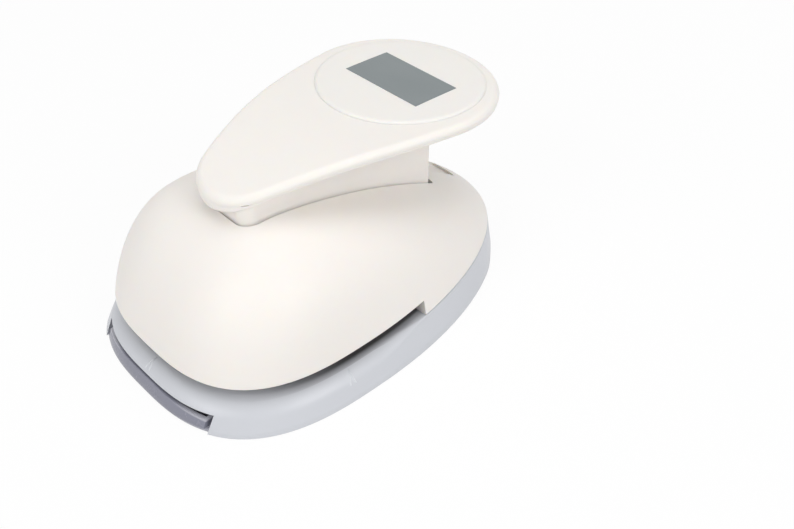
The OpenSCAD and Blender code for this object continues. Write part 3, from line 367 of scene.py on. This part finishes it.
def make_centre_marks():
    """Narrow triangles of two low ridges on the ledge, which point at the middle of the slot."""
    m = Moulding()
    spread = np.linspace(-1, 1, 33)
    side = egg_angle(RIM_W, DIE_Y - 2)
    step = 1e-4
    for middle, along_x, first, last in ((-np.pi / 2, 1, 72, 24), (side, 0, 54, 0), (np.pi - side, 0, 54, 0)):
        rows = {1: [], -1: []}
        turns = np.radians(np.linspace(first, last, 15))
        for turn, share in zip(turns, np.linspace(0, 1, len(turns))):
            x, y, z = (float(v) for v in ledge_point(turn, np.array(middle)))
            half = MARK_TIP + MARK_GROWTH * share
            places = np.array([egg_angle(x + along_x * half * s, y + (1 - along_x) * half * s, 0.0, z)
                               for s in spread])
            p = np.stack(ledge_point(turn, places), 1)
            up = np.stack(ledge_point(turn + step, places), 1) - p
            on = np.stack(ledge_point(turn, places + step), 1) - p
            normal = np.cross(on, up)
            normal /= np.linalg.norm(normal, axis=1)[:, None]
            ridge = np.exp(-((np.abs(spread) - RIDGE_PLACE) / RIDGE_WIDTH) ** 2)
            for face, lift in ((1, RIDGE_H * ridge - RIDGE_SINK), (-1, -MARK_ROOT + 0 * ridge)):
                q = p + normal * lift[:, None]
                rows[face].append(m.ring(q[:, 0], q[:, 1], q[:, 2]))
        for face in (1, -1):
            for low, high in zip(rows[face], rows[face][1:]):
                m.band(low, high, closed=False)
        for k in range(len(turns) - 1):
            for e in (0, -1):
                m.faces.append((rows[1][k][e], rows[1][k + 1][e], rows[-1][k + 1][e], rows[-1][k][e]))
        for k in (0, -1):
            m.band(rows[1][k], rows[-1][k], closed=False)
    return smooth(m.shape("centre_marks"), 50)


# Cover
def dome_form(d):
    """Solid dome, set in by d from the outside of the cover."""
    a = even_columns(90, RIM_W, WIDE_Y - RIM_FRONT, RIM_REAR - WIDE_Y)
    levels = 1 - (1 - np.linspace(0, 0.98, 50)) ** 2
    return stacked("tool", [(*egg(*dome_egg(d, t), a), RIM_Z + (COVER_RISE - d) * t) for t in levels])


def slot_outline(gap, corner_r, steps=10):
    """Plan of the lever slot: wide round the skirt, narrow behind it."""
    w, tail, front_r = SKIRT_W / 2 + gap, SLOT_TAIL_W / 2, SKIRT_R + gap
    front, wide_end, end = SKIRT_FRONT - gap, SKIRT_REAR + SLOT_BACK, SLOT_END

    def corner(x, y, r, a0, a1):
        return [(x + r * math.cos(a), y + r * math.sin(a)) for a in np.radians(np.linspace(a0, a1, steps))]

    right = (corner(w - front_r, front + front_r, front_r, -90, 0)
             + corner(w - corner_r, wide_end - corner_r, corner_r, 0, 90)
             + [(tail, wide_end)] + corner(tail - corner_r, end - corner_r, corner_r, 0, 90))
    return right + [(-x, y) for x, y in right[::-1]]


def make_cover():
    a = even_columns(132, RIM_W, WIDE_Y - RIM_FRONT, RIM_REAR - WIDE_Y)
    n, half = len(a), len(a) // 2
    edge, low_edge = 0.6, 0.2
    start = egg(*dome_egg(0.0, (THROAT_Z - RIM_Z) / COVER_RISE), a)[1]
    step_right = int(np.argmin(np.abs(start[:half] - STEP_Y)))
    step_left = n - step_right
    index = np.arange(n)

    def ring_at(d, z):
        x, y = egg(*dome_egg(d, (z - RIM_Z) / (COVER_RISE - d)), a)
        fade = np.clip((BLEND_TOP - z) / (BLEND_TOP - THROAT_Z - edge), 0, 1)
        fade = fade * fade * (3 - 2 * fade)
        for k in (step_right, step_left):
            near = np.cos(np.pi / 2 * np.clip(np.abs(index - k) / BLEND_COLUMNS, 0, 1)) ** 2
            moved = y + (STEP_Y - y[k]) * fade * near
            x = np.where(near > 0, np.sign(x) * dome_half(d, z, moved), x)
            y = moved
        return x, y, z

    m = Moulding()
    low_t = (THROAT_Z + edge - RIM_Z) / COVER_RISE
    outer = [m.ring(*ring_at(0.0, RIM_Z + COVER_RISE * (1 - (1 - low_t) * (1 - v) ** 2)))
             for v in np.linspace(0, 1, 74)[:-1]]
    inner_rise = COVER_RISE - COVER_WALL
    low_t = (THROAT_Z - RIM_Z) / inner_rise
    inner = [m.ring(*ring_at(COVER_WALL, RIM_Z + inner_rise * (1 - (1 - low_t) * (1 - v) ** 2)))
             for v in np.linspace(0, 1, 38)[:-1]]
    for rows in (outer, inner):
        for low, high in zip(rows, rows[1:]):
            m.band(low, high)
    m.fan(outer[-1], m.ring([0], [CROWN_Y], [RIM_Z + COVER_RISE])[0])
    m.fan(inner[-1], m.ring([0], [CROWN_Y], [RIM_Z + COVER_RISE - COVER_WALL])[0])

    def lower_part(columns, profile):
        """Profile points between the outer and inner walls, along some of the columns."""
        rows = [[outer[0][c] for c in columns]]
        for d, z in profile:
            x, y, _ = ring_at(d, z)
            rows.append(m.ring(x[columns], y[columns], z))
        rows.append([inner[0][c] for c in columns])
        for low, high in zip(rows, rows[1:]):
            m.band(low, high, closed=False)
        return rows

    front_cols = np.concatenate([np.arange(step_left, n), np.arange(0, step_right + 1)])
    rear_cols = np.arange(step_right, step_left + 1)
    lip = [(i, THROAT_Z + drop) for i, drop in edge_steps(edge, 6)[1:]]
    wall = [(0.0, z) for z in np.linspace(THROAT_Z, RIM_Z + SEAM + low_edge, 7)]
    foot = [(i, RIM_Z + SEAM + drop) for i, drop in edge_steps(low_edge, 4)[1:]]
    foot += [(SEAM_DEPTH, RIM_Z + SEAM), (SEAM_DEPTH, RIM_Z)]
    front = lower_part(front_cols, lip)
    rear = lower_part(rear_cols, wall + foot + [(COVER_WALL, RIM_Z), (COVER_WALL, RIM_Z + 2.8)])
    m.faces.append(tuple([r[0] for r in rear] + [r[-1] for r in front[1:-1]][::-1]))
    m.faces.append(tuple([r[-1] for r in rear] + [r[0] for r in front[1:-1]][::-1]))
    cover = m.shape("cover_moulding")
    shape_with(cover, "DIFFERENCE", prism(slot_outline(SLOT_GAP, 1.2), THROAT_Z, 60))
    shape_with(cover, "UNION", throat_ends(), tail_lip(), tail_ramp())
    return smooth(cover, 35)


def throat_ends():
    """Short walls across the throat at the rear end of each side."""
    x, y, z = GUIDE_W / 2 + RUN_GAP, STEP_Y + 0.02, RIM_Z + 0.02
    ends = together([block(x0, x1, y, y + COVER_WALL, z, THROAT_Z + COVER_WALL)
                     for x0, x1 in ((x, HALF_W), (-HALF_W, -x))])
    return shape_with(ends, "INTERSECT", dome_form(COVER_WALL / 2))


def tail_lip():
    """Lip that goes down inside the cover round the narrow end of the slot."""
    x, y0, y1 = SLOT_TAIL_W / 2 + LIP_FIT, SKIRT_REAR + SLOT_BACK + LIP_START, SLOT_END + LIP_FIT
    far_x, far_y = x + LIP_T, y1 + LIP_T
    outside = [(x, y0), (far_x, y0), (far_x, far_y), (-far_x, far_y), (-far_x, y0)]
    lip = prism(outside + [(-x, y0), (-x, y1), (x, y1)], THROAT_Z, 60)
    shape_with(lip, "INTERSECT", dome_form(COVER_WALL / 2))
    return shape_with(lip, "DIFFERENCE", dome_form(COVER_WALL + SLOT_LIP))


def dome_height(x, y):
    """Height of the outside of the dome over a point of the plan."""
    z = np.linspace(RIM_Z, RIM_Z + COVER_RISE, 8001)[:-1]
    return float(z[np.argmin(np.abs(dome_half(0.0, z, y) - x))])


def tail_ramp():
    """Sloping floor in the narrow end of the slot, deepest towards the lever's skirt."""
    x, low_y, high_y = SLOT_TAIL_W / 2, SLOT_END - RAMP_L, SLOT_END
    low_z, high_z = dome_height(x, low_y) - COVER_WALL - RAMP_DEPTH, dome_height(x, high_y) - RAMP_STEP
    end_z = high_z + (high_z - low_z) / (high_y - low_y)
    top = [(low_y, low_z), (high_y + 1, end_z)]
    return across(top + [(y, z - RAMP_T) for y, z in top[::-1]], -x - RAMP_BITE, x + RAMP_BITE)


# Lever
def tip_droop(y):
    """How far the lower edge hangs down towards the lever's tip."""
    return TIP_DROOP * np.clip((DROOP_START - y) / DROOP_LEN, 0, 1) ** DROOP_BEND


def tear_rows(m, rows):
    """Stacked teardrop rings of inset and height above the lower edge, closed at both ends."""
    made = []
    for d, h in rows:
        x, y = teardrop(d)
        x, y = np.concatenate([x, -x[-2:0:-1]]), np.concatenate([y, y[-2:0:-1]])
        made.append(m.ring(x, y, arch(y) + h - tip_droop(y) * max(0, 1 - h / PARTING_H)))
    for low, high in zip(made, made[1:]):
        m.band(low, high)
    m.rungs(made[0])
    m.rungs(made[-1])


def make_lever_cap():
    m = Moulding()
    roof, lip = LEVER_H - CAP_WALL, 0.15
    top = [(i, LEVER_H - drop) for i, drop in edge_steps(LEVER_EDGE_R, 12)]
    tear_rows(m, [(CAP_WALL + 0.6, roof), (CAP_WALL, roof), (CAP_WALL, PARTING_H)]
              + [(lip * (1 - math.sin(g)), PARTING_H + lip * (1 - math.cos(g)))
                 for g in np.radians((0, 30, 60, 90))]
              + top + [(LEVER_EDGE_R + 0.5, LEVER_H), (LEVER_EDGE_R + 3, LEVER_H)])
    cap = m.shape("lever_cap_moulding")
    bosses = [prism(disc_points(x, y, 2 * LEVER_BOSS_R, 32),
                    float(max(arch(y + LEVER_BOSS_R), arch(y - LEVER_BOSS_R))) + PARTING_H + SNUG,
                    float(arch(y)) + roof + CAP_WALL / 2) for x, y in LEVER_SCREWS]
    holes = [prism(disc_points(x, y, LEVER_HOLE_D, 32), float(arch(y)), float(arch(y)) + roof + CAP_WALL / 3)
             for x, y in LEVER_SCREWS]
    shape_with(cap, "UNION", together(bosses))
    shape_with(cap, "DIFFERENCE", together(holes))
    return smooth(cap, 30)


def skirt_plan(d, steps=14):
    w, r = SKIRT_W / 2 - d, SKIRT_R - d
    right = [(SKIRT_W / 2 - SKIRT_R + r * math.cos(a), SKIRT_FRONT + SKIRT_R + r * math.sin(a))
             for a in np.radians(np.linspace(-90, 0, steps))]
    end_r = 0.5
    right += [(w - end_r + end_r * math.cos(a), SKIRT_REAR - d - end_r + end_r * math.sin(a))
              for a in np.radians(np.linspace(0, 90, 5))]
    return right + [(-x, y) for x, y in right[::-1]]


def make_lever_body():
    m = Moulding()
    lip = 0.25
    tear_rows(m, [(4.0, 0), (1.4, 0), (0.7, 0), (0.45, 0.08), (0.28, 0.26), (0.2, 0.5)]
              + [(0.2 + lip * (1 - math.cos(g)), PARTING_H - GROOVE - lip * (1 - math.sin(g)))
                 for g in np.radians((0, 30, 60, 90))]
              + [(1.0, PARTING_H - GROOVE), (1.0, PARTING_H - SNUG), (CAP_WALL, PARTING_H - SNUG)])
    body = m.shape("lever_body_moulding")
    arm_out, arm_in = SKIRT_W / 2, SKIRT_W / 2 - SKIRT_WALL - 0.2
    arm_y, arm_low, bar_low = DIE_Y + 12.7 + 2.3, 34.4, BAR_Z - BAR_D / 2 - 1.6
    top = [(y, float(arch(y)) + PARTING_H / 2) for y in np.linspace(SKIRT_REAR + 1, SKIRT_FRONT - 1, 60)]
    skirt = prism(skirt_plan(0.0), 20, 70)
    shape_with(skirt, "DIFFERENCE", prism(skirt_plan(SKIRT_WALL), 10, 80))
    skirt_low = [(SKIRT_FRONT - 1, BAR_Z + PIVOT_BOSS_R), (DIE_Y, bar_low), (arm_y, arm_low),
                 (SKIRT_REAR + 1, 27.6)]
    shape_with(skirt, "INTERSECT", across(skirt_low + top, -SKIRT_W, SKIRT_W))
    arm = [(PIVOT_Y, BAR_Z - PIVOT_BOSS_R), (DIE_Y, bar_low), (arm_y, arm_low),
           (arm_y + 8, BAR_Z + PIVOT_BOSS_R), (SKIRT_FRONT + SKIRT_R, BAR_Z + PIVOT_BOSS_R + 3),
           (PIVOT_Y, BAR_Z + PIVOT_BOSS_R)]
    arm += [(PIVOT_Y + PIVOT_BOSS_R * math.cos(g), BAR_Z + PIVOT_BOSS_R * math.sin(g))
            for g in np.radians(np.linspace(90, 270, 26)[1:-1])]
    levels, lug_out = np.linspace(20, 50, 3001), arm_out + LUG_REACH
    lug_high = levels[np.argmin(np.abs(dome_half(COVER_WALL, levels, SKIRT_REAR) - lug_out))] - RUN_GAP
    lug = (SKIRT_REAR - 6, SKIRT_REAR - 0.6, lug_high - LUG_H, lug_high)
    shape_with(skirt, "UNION", across(arm, arm_in, arm_out), across(arm, -arm_out, -arm_in),
               block(arm_out - 1, lug_out, *lug), block(-lug_out, 1 - arm_out, *lug))
    shape_with(body, "UNION", skirt)
    shape_with(body, "DIFFERENCE", cross_rod(PIVOT_Y, BAR_Z, BUSH_D + 2 * SNUG, -20, 20),
               cross_rod(DIE_Y, BAR_Z, BAR_D + 2 * SNUG, -20, 20),
               rods(LEVER_SCREWS, 55, 68, LEVER_HOLE_D), together([pry_notch(1), pry_notch(-1)]))
    return smooth(body, 30)


def pry_notch(side):
    """Short notch under the cap at one side of the lever's tip."""
    g = np.radians(np.linspace(*NOTCH_TURNS, 9))
    inner, outer = LEVER_FRONT_R - NOTCH_DEPTH, LEVER_FRONT_R + 1
    x = side * np.concatenate([inner * np.cos(g), outer * np.cos(g[::-1])])
    y = LEVER_FRONT_Y + np.concatenate([inner * np.sin(g), outer * np.sin(g[::-1])])
    return stacked("tool", [(x, y, arch(y) + PARTING_H - NOTCH_LOW),
                            (x, y, arch(y) + PARTING_H + NOTCH_HIGH)])


def make_lever_disc():
    m = Moulding()
    g = np.linspace(0, 2 * np.pi, 160, endpoint=False)
    low = LEVER_H + SNUG
    rows = [(DISC_R - 6, low), (DISC_R, low)]
    rows += [(DISC_R - DISC_EDGE_STRETCH * i, low + DISC_H - drop) for i, drop in edge_steps(DISC_H, 8)[1:]]
    rows += [(DISC_R - DISC_EDGE_STRETCH * DISC_H - s, low + DISC_H) for s in (0.4, 3, 8, 14, 20, 25)]
    rings = []
    for r, h in rows:
        x, y = r * np.cos(g), DISC_Y + r * np.sin(g)
        rings.append(m.ring(x, y, arch(y) + h))
    for lower, upper in zip(rings, rings[1:]):
        m.band(lower, upper)
    m.fan(rings[-1], m.ring([0], [DISC_Y], [float(arch(DISC_Y)) + low + DISC_H])[0])
    m.fan(rings[0], m.ring([0], [DISC_Y], [float(arch(DISC_Y)) + low])[0])
    disc = m.shape("lever_press_disc")
    w, half = ICON_W / 2 + SNUG, ICON_L / 2 + SNUG
    seat = [(y, float(arch(y)) + low + DISC_H - ICON_T)
            for y in np.linspace(DISC_Y - half, DISC_Y + half, 24)]
    shape_with(disc, "DIFFERENCE", across(seat + [(DISC_Y + half, 80), (DISC_Y - half, 80)], -w, w))
    return smooth(disc, 30)


# Chip tray
def make_chip_tray():
    """Drawer with a thin curved front whose top edge is crowned."""
    top, floor_z, flange = CUTOUT_Z - RUN_GAP, FOOT_LIFT + 0.2, PLATE_TOP + RUN_GAP
    reach, end = CUTOUT_W / 2 - RUN_GAP, FRONT_Y + FRONT_ZONE
    tray = base_form(TRAY_RECESS, BASE_COLUMNS, "chip_tray_moulding", TRAY_FOOT)
    shape_with(tray, "INTERSECT", block(-reach, reach, FRONT_Y - 1, TRAY_REAR, floor_z, top))
    room = base_form(TRAY_RECESS + TRAY_WALL, BASE_COLUMNS)
    shape_with(room, "INTERSECT", block(-TRAY_W / 2 + TRAY_WALL, TRAY_W / 2 - TRAY_WALL, FRONT_Y,
                                        TRAY_REAR - TRAY_WALL, floor_z + TRAY_FLOOR_T, top + 1))
    crown = [(x, CUTOUT_Z - TRAY_GAP - TRAY_DIP * (2 * x / TRAY_W) ** 2)
             for x in np.linspace(-TRAY_W / 2 - 1, TRAY_W / 2 + 1, 57)]
    sides = []
    for x0, x1 in ((TRAY_W / 2, TRAY_W / 2 + 4), (-TRAY_W / 2 - 4, -TRAY_W / 2)):
        sides.append(block(x0, x1, FRONT_Y - 1, TRAY_REAR + 1, flange + 1, 14))
        sides.append(block(x0, x1, end, TRAY_REAR + 1, 0, flange))
        sides.append(block(x0, x1, FRONT_Y - 1, end, floor_z + TRAY_FLOOR_T, 14.5))
    over_crown = along(crown + [(29, top + 1), (-29, top + 1)], FRONT_Y - 1, end)
    shape_with(tray, "DIFFERENCE", room, over_crown, *sides)
    ease = tray.modifiers.new("ease", "BEVEL")
    ease.width, ease.segments, ease.limit_method, ease.angle_limit = TRAY_EASE, 2, "ANGLE", math.radians(50)
    made = bpy.data.meshes.new_from_object(tray.evaluated_get(bpy.context.evaluated_depsgraph_get()))
    tray.modifiers.clear()
    tray.data = made
    return smooth(tray, 30)


def make_return_spring(name, x):
    m = Moulding()
    low, high = GUIDE_TOP + SPRING_WIRE / 2 + SNUG, HOLDER_Z - SPRING_WIRE / 2 - SNUG
    steps = SPRING_TURNS * 36
    g = np.linspace(0, 2 * np.pi, 14, endpoint=False)
    rings = []
    for k in range(steps + 1):
        a = 2 * np.pi * k / 36
        r = SPRING_D / 2 + SPRING_WIRE / 2 * np.cos(g)
        rings.append(m.ring(x + r * math.cos(a), DIE_Y + r * math.sin(a),
                            low + (high - low) * k / steps + SPRING_WIRE / 2 * np.sin(g)))
    for lower, upper in zip(rings, rings[1:]):
        m.band(lower, upper)
    m.faces += [tuple(rings[0]), tuple(rings[-1])]
    return smooth(m.shape(name), 40)


# Finishes
class Sock:
    """One shader socket; sums and products of sockets add Math nodes."""

    def __init__(self, finish, socket):
        self.finish, self.socket = finish, socket

    def math(self, operation, a, b):
        return self.finish.node("ShaderNodeMath", {"operation": operation}, {0: a, 1: b})

    def __add__(self, other):
        return self.math("ADD", self, other)

    def __sub__(self, other):
        return self.math("SUBTRACT", self, other)

    def __rsub__(self, other):
        return self.math("SUBTRACT", other, self)

    def __mul__(self, other):
        return self.math("MULTIPLY", self, other)

    def __pow__(self, other):
        return self.math("POWER", self, other)

    def __abs__(self):
        return self.math("ABSOLUTE", self, 0.0)

    def __lt__(self, other):
        return self.math("LESS_THAN", self, other)

    def __gt__(self, other):
        return self.math("GREATER_THAN", self, other)

    __radd__, __rmul__ = __add__, __mul__


class Finish:
    """A material or world and its nodes."""

    def __init__(self, owner):
        self.owner = owner
        owner.use_nodes = True
        self.tree = owner.node_tree
        self.tree.nodes.clear()

    def node(self, kind, settings=None, sockets=None, out=0):
        made = self.tree.nodes.new(kind)
        for key, value in (settings or {}).items():
            setattr(made, key, value)
        for key, value in (sockets or {}).items():
            if isinstance(value, Sock):
                self.tree.links.new(value.socket, made.inputs[key])
            else:
                made.inputs[key].default_value = value
        return Sock(self, made.outputs[out]) if made.outputs else None

    def place(self, stretch=(1, 1, 1)):
        spot = self.node("ShaderNodeTexCoord", out="Object")
        return self.node("ShaderNodeMapping", {}, {"Vector": spot, "Scale": stretch})

    def axis(self, name):
        spot = self.node("ShaderNodeTexCoord", out="Object")
        return self.node("ShaderNodeSeparateXYZ", {}, {0: spot}, out=name)

    def rise(self, value, start, end):
        """0 before start and 1 after end, with a soft change between them."""
        return self.node("ShaderNodeMapRange", {"interpolation_type": "SMOOTHSTEP"},
                         {"Value": value, "From Min": start, "From Max": end})

    def noise(self, scale, detail=2.0, rough=0.5, stretch=(1, 1, 1)):
        return self.node("ShaderNodeTexNoise", {}, {"Vector": self.place(stretch), "Scale": scale,
                                                    "Detail": detail, "Roughness": rough})

    def blend(self, share, first, second):
        return self.node("ShaderNodeMix", {"data_type": "RGBA"}, {0: share, 6: first, 7: second}, out=2)

    def bump(self, height, strength, distance):
        return self.node("ShaderNodeBump", {}, {"Height": height, "Strength": strength, "Distance": distance})

    def surface(self, sockets):
        shader = self.node("ShaderNodeBsdfPrincipled", {}, sockets)
        self.node("ShaderNodeOutputMaterial", {}, {"Surface": shader})
        return self.owner


def rgba(r, g, b):
    return (r, g, b, 1.0)


def painted_throat_shade(f):
    """Painted shade: 0 on the ledge, rising to 1 deep in the paper throat under the cover, where it darkens
    the base colour.
    """
    x, y, z = (f.axis(name) for name in "XYZ")

    def egg_share(n, reach):
        return (abs(x * (1000 / RIM_W)) ** n + abs((y - WIDE_Y / 1000) * (1000 / reach)) ** n) ** (1 / n)

    front = y < WIDE_Y / 1000
    share = front * egg_share(NOSE_N, WIDE_Y - RIM_FRONT) + (1 - front) * egg_share(TAIL_N, RIM_REAR - WIDE_Y)
    depth = f.rise(share, 0.985, 0.93) * 0.45 + f.rise(share, 0.935, 0.905) * 0.55
    return depth * (f.rise(y, -0.062, -0.02) * 0.85 + 0.05) * (z > (RIM_Z - 0.6) / 1000)


def moulded_plastic(name, colour, deeper, rough, grain, shade=None, depth=0.0):
    """Injection moulded plastic: faint flow tone, fine eroded grain and uneven sheen, with optional painted
    shade in its colour.
    """
    f = Finish(bpy.data.materials.new(name))
    flow = f.noise(9.0, 3.0, 0.55, (1.0, 0.6, 1.4))
    speck = f.noise(420.0, 2.0)
    fine = f.noise(2600.0, 2.0, 0.6)
    tone = f.blend(flow * 0.7 + speck * 0.3, rgba(*colour), rgba(*deeper))
    if shade:
        # painted shade: blends the colour towards near black where shade falls deep in the throat
        tone = f.blend(shade(f), tone, rgba(0.022, 0.018, 0.019))
    return f.surface({"Base Color": tone, "Roughness": speck * 0.1 + flow * 0.06 + (rough - 0.08),
                      "IOR": 1.47, "Subsurface Weight": depth, "Subsurface Radius": (1.0, 0.6, 0.32),
                      "Subsurface Scale": 0.0015, "Normal": f.bump(fine, grain, 0.00006)})


def smoke_plastic(name):
    """Smoke tinted plastic with painted highlights along its top and bottom edges near the ends."""
    f = Finish(bpy.data.materials.new(name))
    cloud = f.noise(60.0, 3.0)
    scuff = f.noise(300.0, 3.0, 0.6, (1.0, 0.25, 1.0))
    tone = f.blend(cloud, rgba(0.236, 0.24, 0.298), rgba(0.204, 0.208, 0.262))
    x, z = f.axis("X"), f.axis("Z")
    below = (CUTOUT_Z - TRAY_GAP) / 1000 - x * x * (4000 * TRAY_DIP / TRAY_W ** 2) - z
    # painted highlight: mask of the front's top and bottom edges near its ends, where the colour is lightened
    ends = f.rise(abs(x), 0.012, 0.023) * (f.rise(below, 0.0006, 0.0002) + f.rise(z, 0.0015, 0.0009) * 0.7)
    tone = f.blend(ends * 0.55, tone, rgba(0.56, 0.56, 0.6))
    return f.surface({"Base Color": tone, "Roughness": scuff * 0.12 + 0.2, "IOR": 1.49, "Coat Weight": 0.3,
                      "Normal": f.bump(scuff, 0.03, 0.0001)})


def printed_grey(name):
    """Flat grey print on the press disc, with a faint screen grain."""
    f = Finish(bpy.data.materials.new(name))
    grain = f.noise(3000.0, 1.0)
    wash = f.noise(45.0, 2.0, 0.5, (1.0, 1.6, 1.0))
    tone = f.blend(wash, rgba(0.19, 0.216, 0.221), rgba(0.23, 0.256, 0.262))
    return f.surface({"Base Color": tone, "Roughness": grain * 0.12 + 0.42, "IOR": 1.45,
                      "Normal": f.bump(grain, 0.05, 0.00004)})


def worked_metal(name, colour, deeper, rough, stretch):
    """Metal with drawn or ground lines and small tone changes."""
    f = Finish(bpy.data.materials.new(name))
    lines = f.noise(900.0, 3.0, 0.65, stretch)
    patch = f.noise(70.0, 3.0)
    tone = f.blend(patch * 0.6 + lines * 0.4, rgba(*colour), rgba(*deeper))
    return f.surface({"Base Color": tone, "Metallic": 1.0,
                      "Roughness": lines * 0.2 + patch * 0.1 + (rough - 0.15),
                      "Normal": f.bump(lines, 0.12, 0.00005)})


def foot_rubber(name):
    f = Finish(bpy.data.materials.new(name))
    grain = f.noise(900.0, 3.0, 0.7)
    return f.surface({"Base Color": f.blend(grain, rgba(0.03, 0.03, 0.033), rgba(0.055, 0.055, 0.058)),
                      "Roughness": grain * 0.15 + 0.68, "Normal": f.bump(grain, 0.25, 0.0001)})


def dark_phosphate(name):
    f = Finish(bpy.data.materials.new(name))
    grain = f.noise(600.0, 4.0, 0.7)
    return f.surface({"Base Color": f.blend(grain, rgba(0.06, 0.06, 0.065), rgba(0.12, 0.12, 0.125)),
                      "Metallic": 0.6, "Roughness": grain * 0.2 + 0.45, "Normal": f.bump(grain, 0.2, 0.0001)})


CREAM = moulded_plastic("cream_plastic", (0.876, 0.842, 0.805), (0.854, 0.817, 0.776), 0.5, 0.035, depth=0.25)
# base plastic, with painted shade in the throat under the cover
LAVENDER = moulded_plastic("base_plastic", (0.605, 0.62, 0.658), (0.58, 0.595, 0.633), 0.36, 0.04,
                           painted_throat_shade)
# painted highlight: a paler colour for the centre marks, so that their ridges look lit
RIDGE_PAINTED_HIGHLIGHT = moulded_plastic("mark_plastic_painted_highlight", (0.7, 0.715, 0.75), (0.68, 0.695, 0.73), 0.3, 0.03)
SMOKE = smoke_plastic("smoke_plastic")
PRINT = printed_grey("icon_grey")
ZINC = worked_metal("zinc_steel", (0.62, 0.63, 0.65), (0.5, 0.51, 0.53), 0.34, (1, 1, 5))
GROUND = worked_metal("ground_steel", (0.55, 0.56, 0.58), (0.44, 0.45, 0.47), 0.32, (0.1, 1, 1))
BRONZE = worked_metal("sintered_bronze", (0.62, 0.45, 0.24), (0.5, 0.34, 0.17), 0.42, (1, 1, 1))
RUBBER = foot_rubber("foot_rubber")
PHOSPHATE = dark_phosphate("dark_phosphate")
BY_SLOT = {"cream_plastic": CREAM, "base_plastic": LAVENDER, "smoke_plastic": SMOKE, "icon_grey": PRINT,
           "steel": ZINC, "tool_steel": GROUND, "bronze": BRONZE, "rubber": RUBBER, "dark_casting": PHOSPHATE}


def dress(piece, body, slot, *stands_for):
    piece.data.materials.clear()
    piece.data.materials.append(BY_SLOT[slot])
    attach(piece, body)
    if stands_for:
        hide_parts(*stands_for)
    return piece


# The object
for row in frame["record"]["subparts"]:
    node = cad[row["node"]]
    node.data.materials.clear()
    node.data.materials.append(BY_SLOT[row["material_slot"]])

dress(make_base_shell(), "base", "base_plastic", "base_shell")
# the centre marks are coloured paler than the base, a painted highlight on their ridges
dress(make_centre_marks(), "base", "base_plastic").data.materials[0] = RIDGE_PAINTED_HIGHLIGHT
dress(make_cover(), "base", "cream_plastic", "cover")
dress(make_lever_cap(), "lever", "cream_plastic", "lever_cap")
dress(make_lever_body(), "lever", "cream_plastic", "lever_body")
dress(make_lever_disc(), "lever", "cream_plastic", "lever_disc")
dress(make_chip_tray(), "tray", "smoke_plastic", "chip_tray")
for side, x in (("left", -POST_X), ("right", POST_X)):
    spring = dress(make_return_spring("return_spring_wire_" + side, x), "base", "steel",
                   "return_spring_" + side)
    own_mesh(spring)

# Floor, light and camera
floor_mesh = bpy.data.meshes.new("floor")
floor_mesh.from_pydata([(-3, -3, 0), (3, -3, 0), (3, 3, 0), (-3, 3, 0)], [], [(0, 1, 2, 3)])
floor = bpy.data.objects.new("floor", floor_mesh)
bpy.context.scene.collection.objects.link(floor)


def seen_share(f):
    """1 for what the camera, reflections and glass see, and 0 for what lights the object."""
    seen = [f.node("ShaderNodeLightPath", out=name)
            for name in ("Is Camera Ray", "Is Glossy Ray", "Is Transmission Ray")]
    return f.node("ShaderNodeMath", {"operation": "MINIMUM"}, {0: seen[0] + seen[1] + seen[2], 1: 1.0})


f = Finish(bpy.data.materials.new("pale_floor"))
mottle = f.noise(3.0, 2.0)
pale = f.blend(mottle, rgba(0.9, 0.9, 0.9), rgba(0.92, 0.92, 0.92))
paper = f.node("ShaderNodeBsdfDiffuse", {}, {"Color": pale})
glow = f.node("ShaderNodeEmission", {}, {"Color": rgba(1, 1, 1), "Strength": 1.0})
f.node("ShaderNodeOutputMaterial", {}, {"Surface": f.node(
    "ShaderNodeMixShader", {}, {0: seen_share(f) * 0.92, 1: paper, 2: glow})})
floor_mesh.materials.append(f.owner)

world = bpy.data.worlds.new("studio")
bpy.context.scene.world = world
f = Finish(world)
soft = f.node("ShaderNodeBackground", {}, {"Color": rgba(1, 1, 1), "Strength": 0.3})
white = f.node("ShaderNodeBackground", {}, {"Color": rgba(1, 1, 1), "Strength": 1.0})
f.node("ShaderNodeOutputWorld", {}, {"Surface": f.node(
    "ShaderNodeMixShader", {}, {0: seen_share(f), 1: soft, 2: white})})


def softbox(name, place, aim, size, watts):
    lamp = bpy.data.lights.new(name, "AREA")
    lamp.shape, lamp.size, lamp.energy = "DISK", size, watts
    light = bpy.data.objects.new(name, lamp)
    bpy.context.scene.collection.objects.link(light)
    light.location = place
    light.rotation_mode = "QUATERNION"
    light.rotation_quaternion = (Vector(aim) - Vector(place)).to_track_quat("-Z", "Y")


softbox("top_softbox", (0.0, 0.0, 1.2), (0, 0, 0.03), 1.0, 4.2)
softbox("front_softbox", (0.0, -1.0, 0.7), (0, 0, 0.03), 0.7, 5.1)
softbox("right_softbox", (1.05, 0.1, 0.7), (0, 0, 0.03), 0.7, 5.2)
softbox("rear_softbox", (0.2, 0.6, 1.05), (0, 0, 0.03), 0.6, 1.6)

camera = bpy.data.objects.new("camera", bpy.data.cameras.new("camera"))
bpy.context.scene.collection.objects.link(camera)
bpy.context.scene.camera = camera
camera.data.sensor_width, camera.data.lens = 36.0, 44.148
az, el = math.radians(46.856), math.radians(40.043)
right = Vector((math.cos(az), math.sin(az), 0))
up = Vector((-math.sin(az) * math.sin(el), math.cos(az) * math.sin(el), math.cos(el)))
back = Vector((math.sin(az) * math.cos(el), -math.cos(az) * math.cos(el), math.sin(el)))
turned = Matrix((right, up, back)).transposed().to_4x4()
camera.matrix_world = Matrix.Translation((0.20817, -0.15827, 0.22817)) @ turned
bpy.context.scene.view_settings.view_transform = "Standard"

bpy.context.view_layer.update()
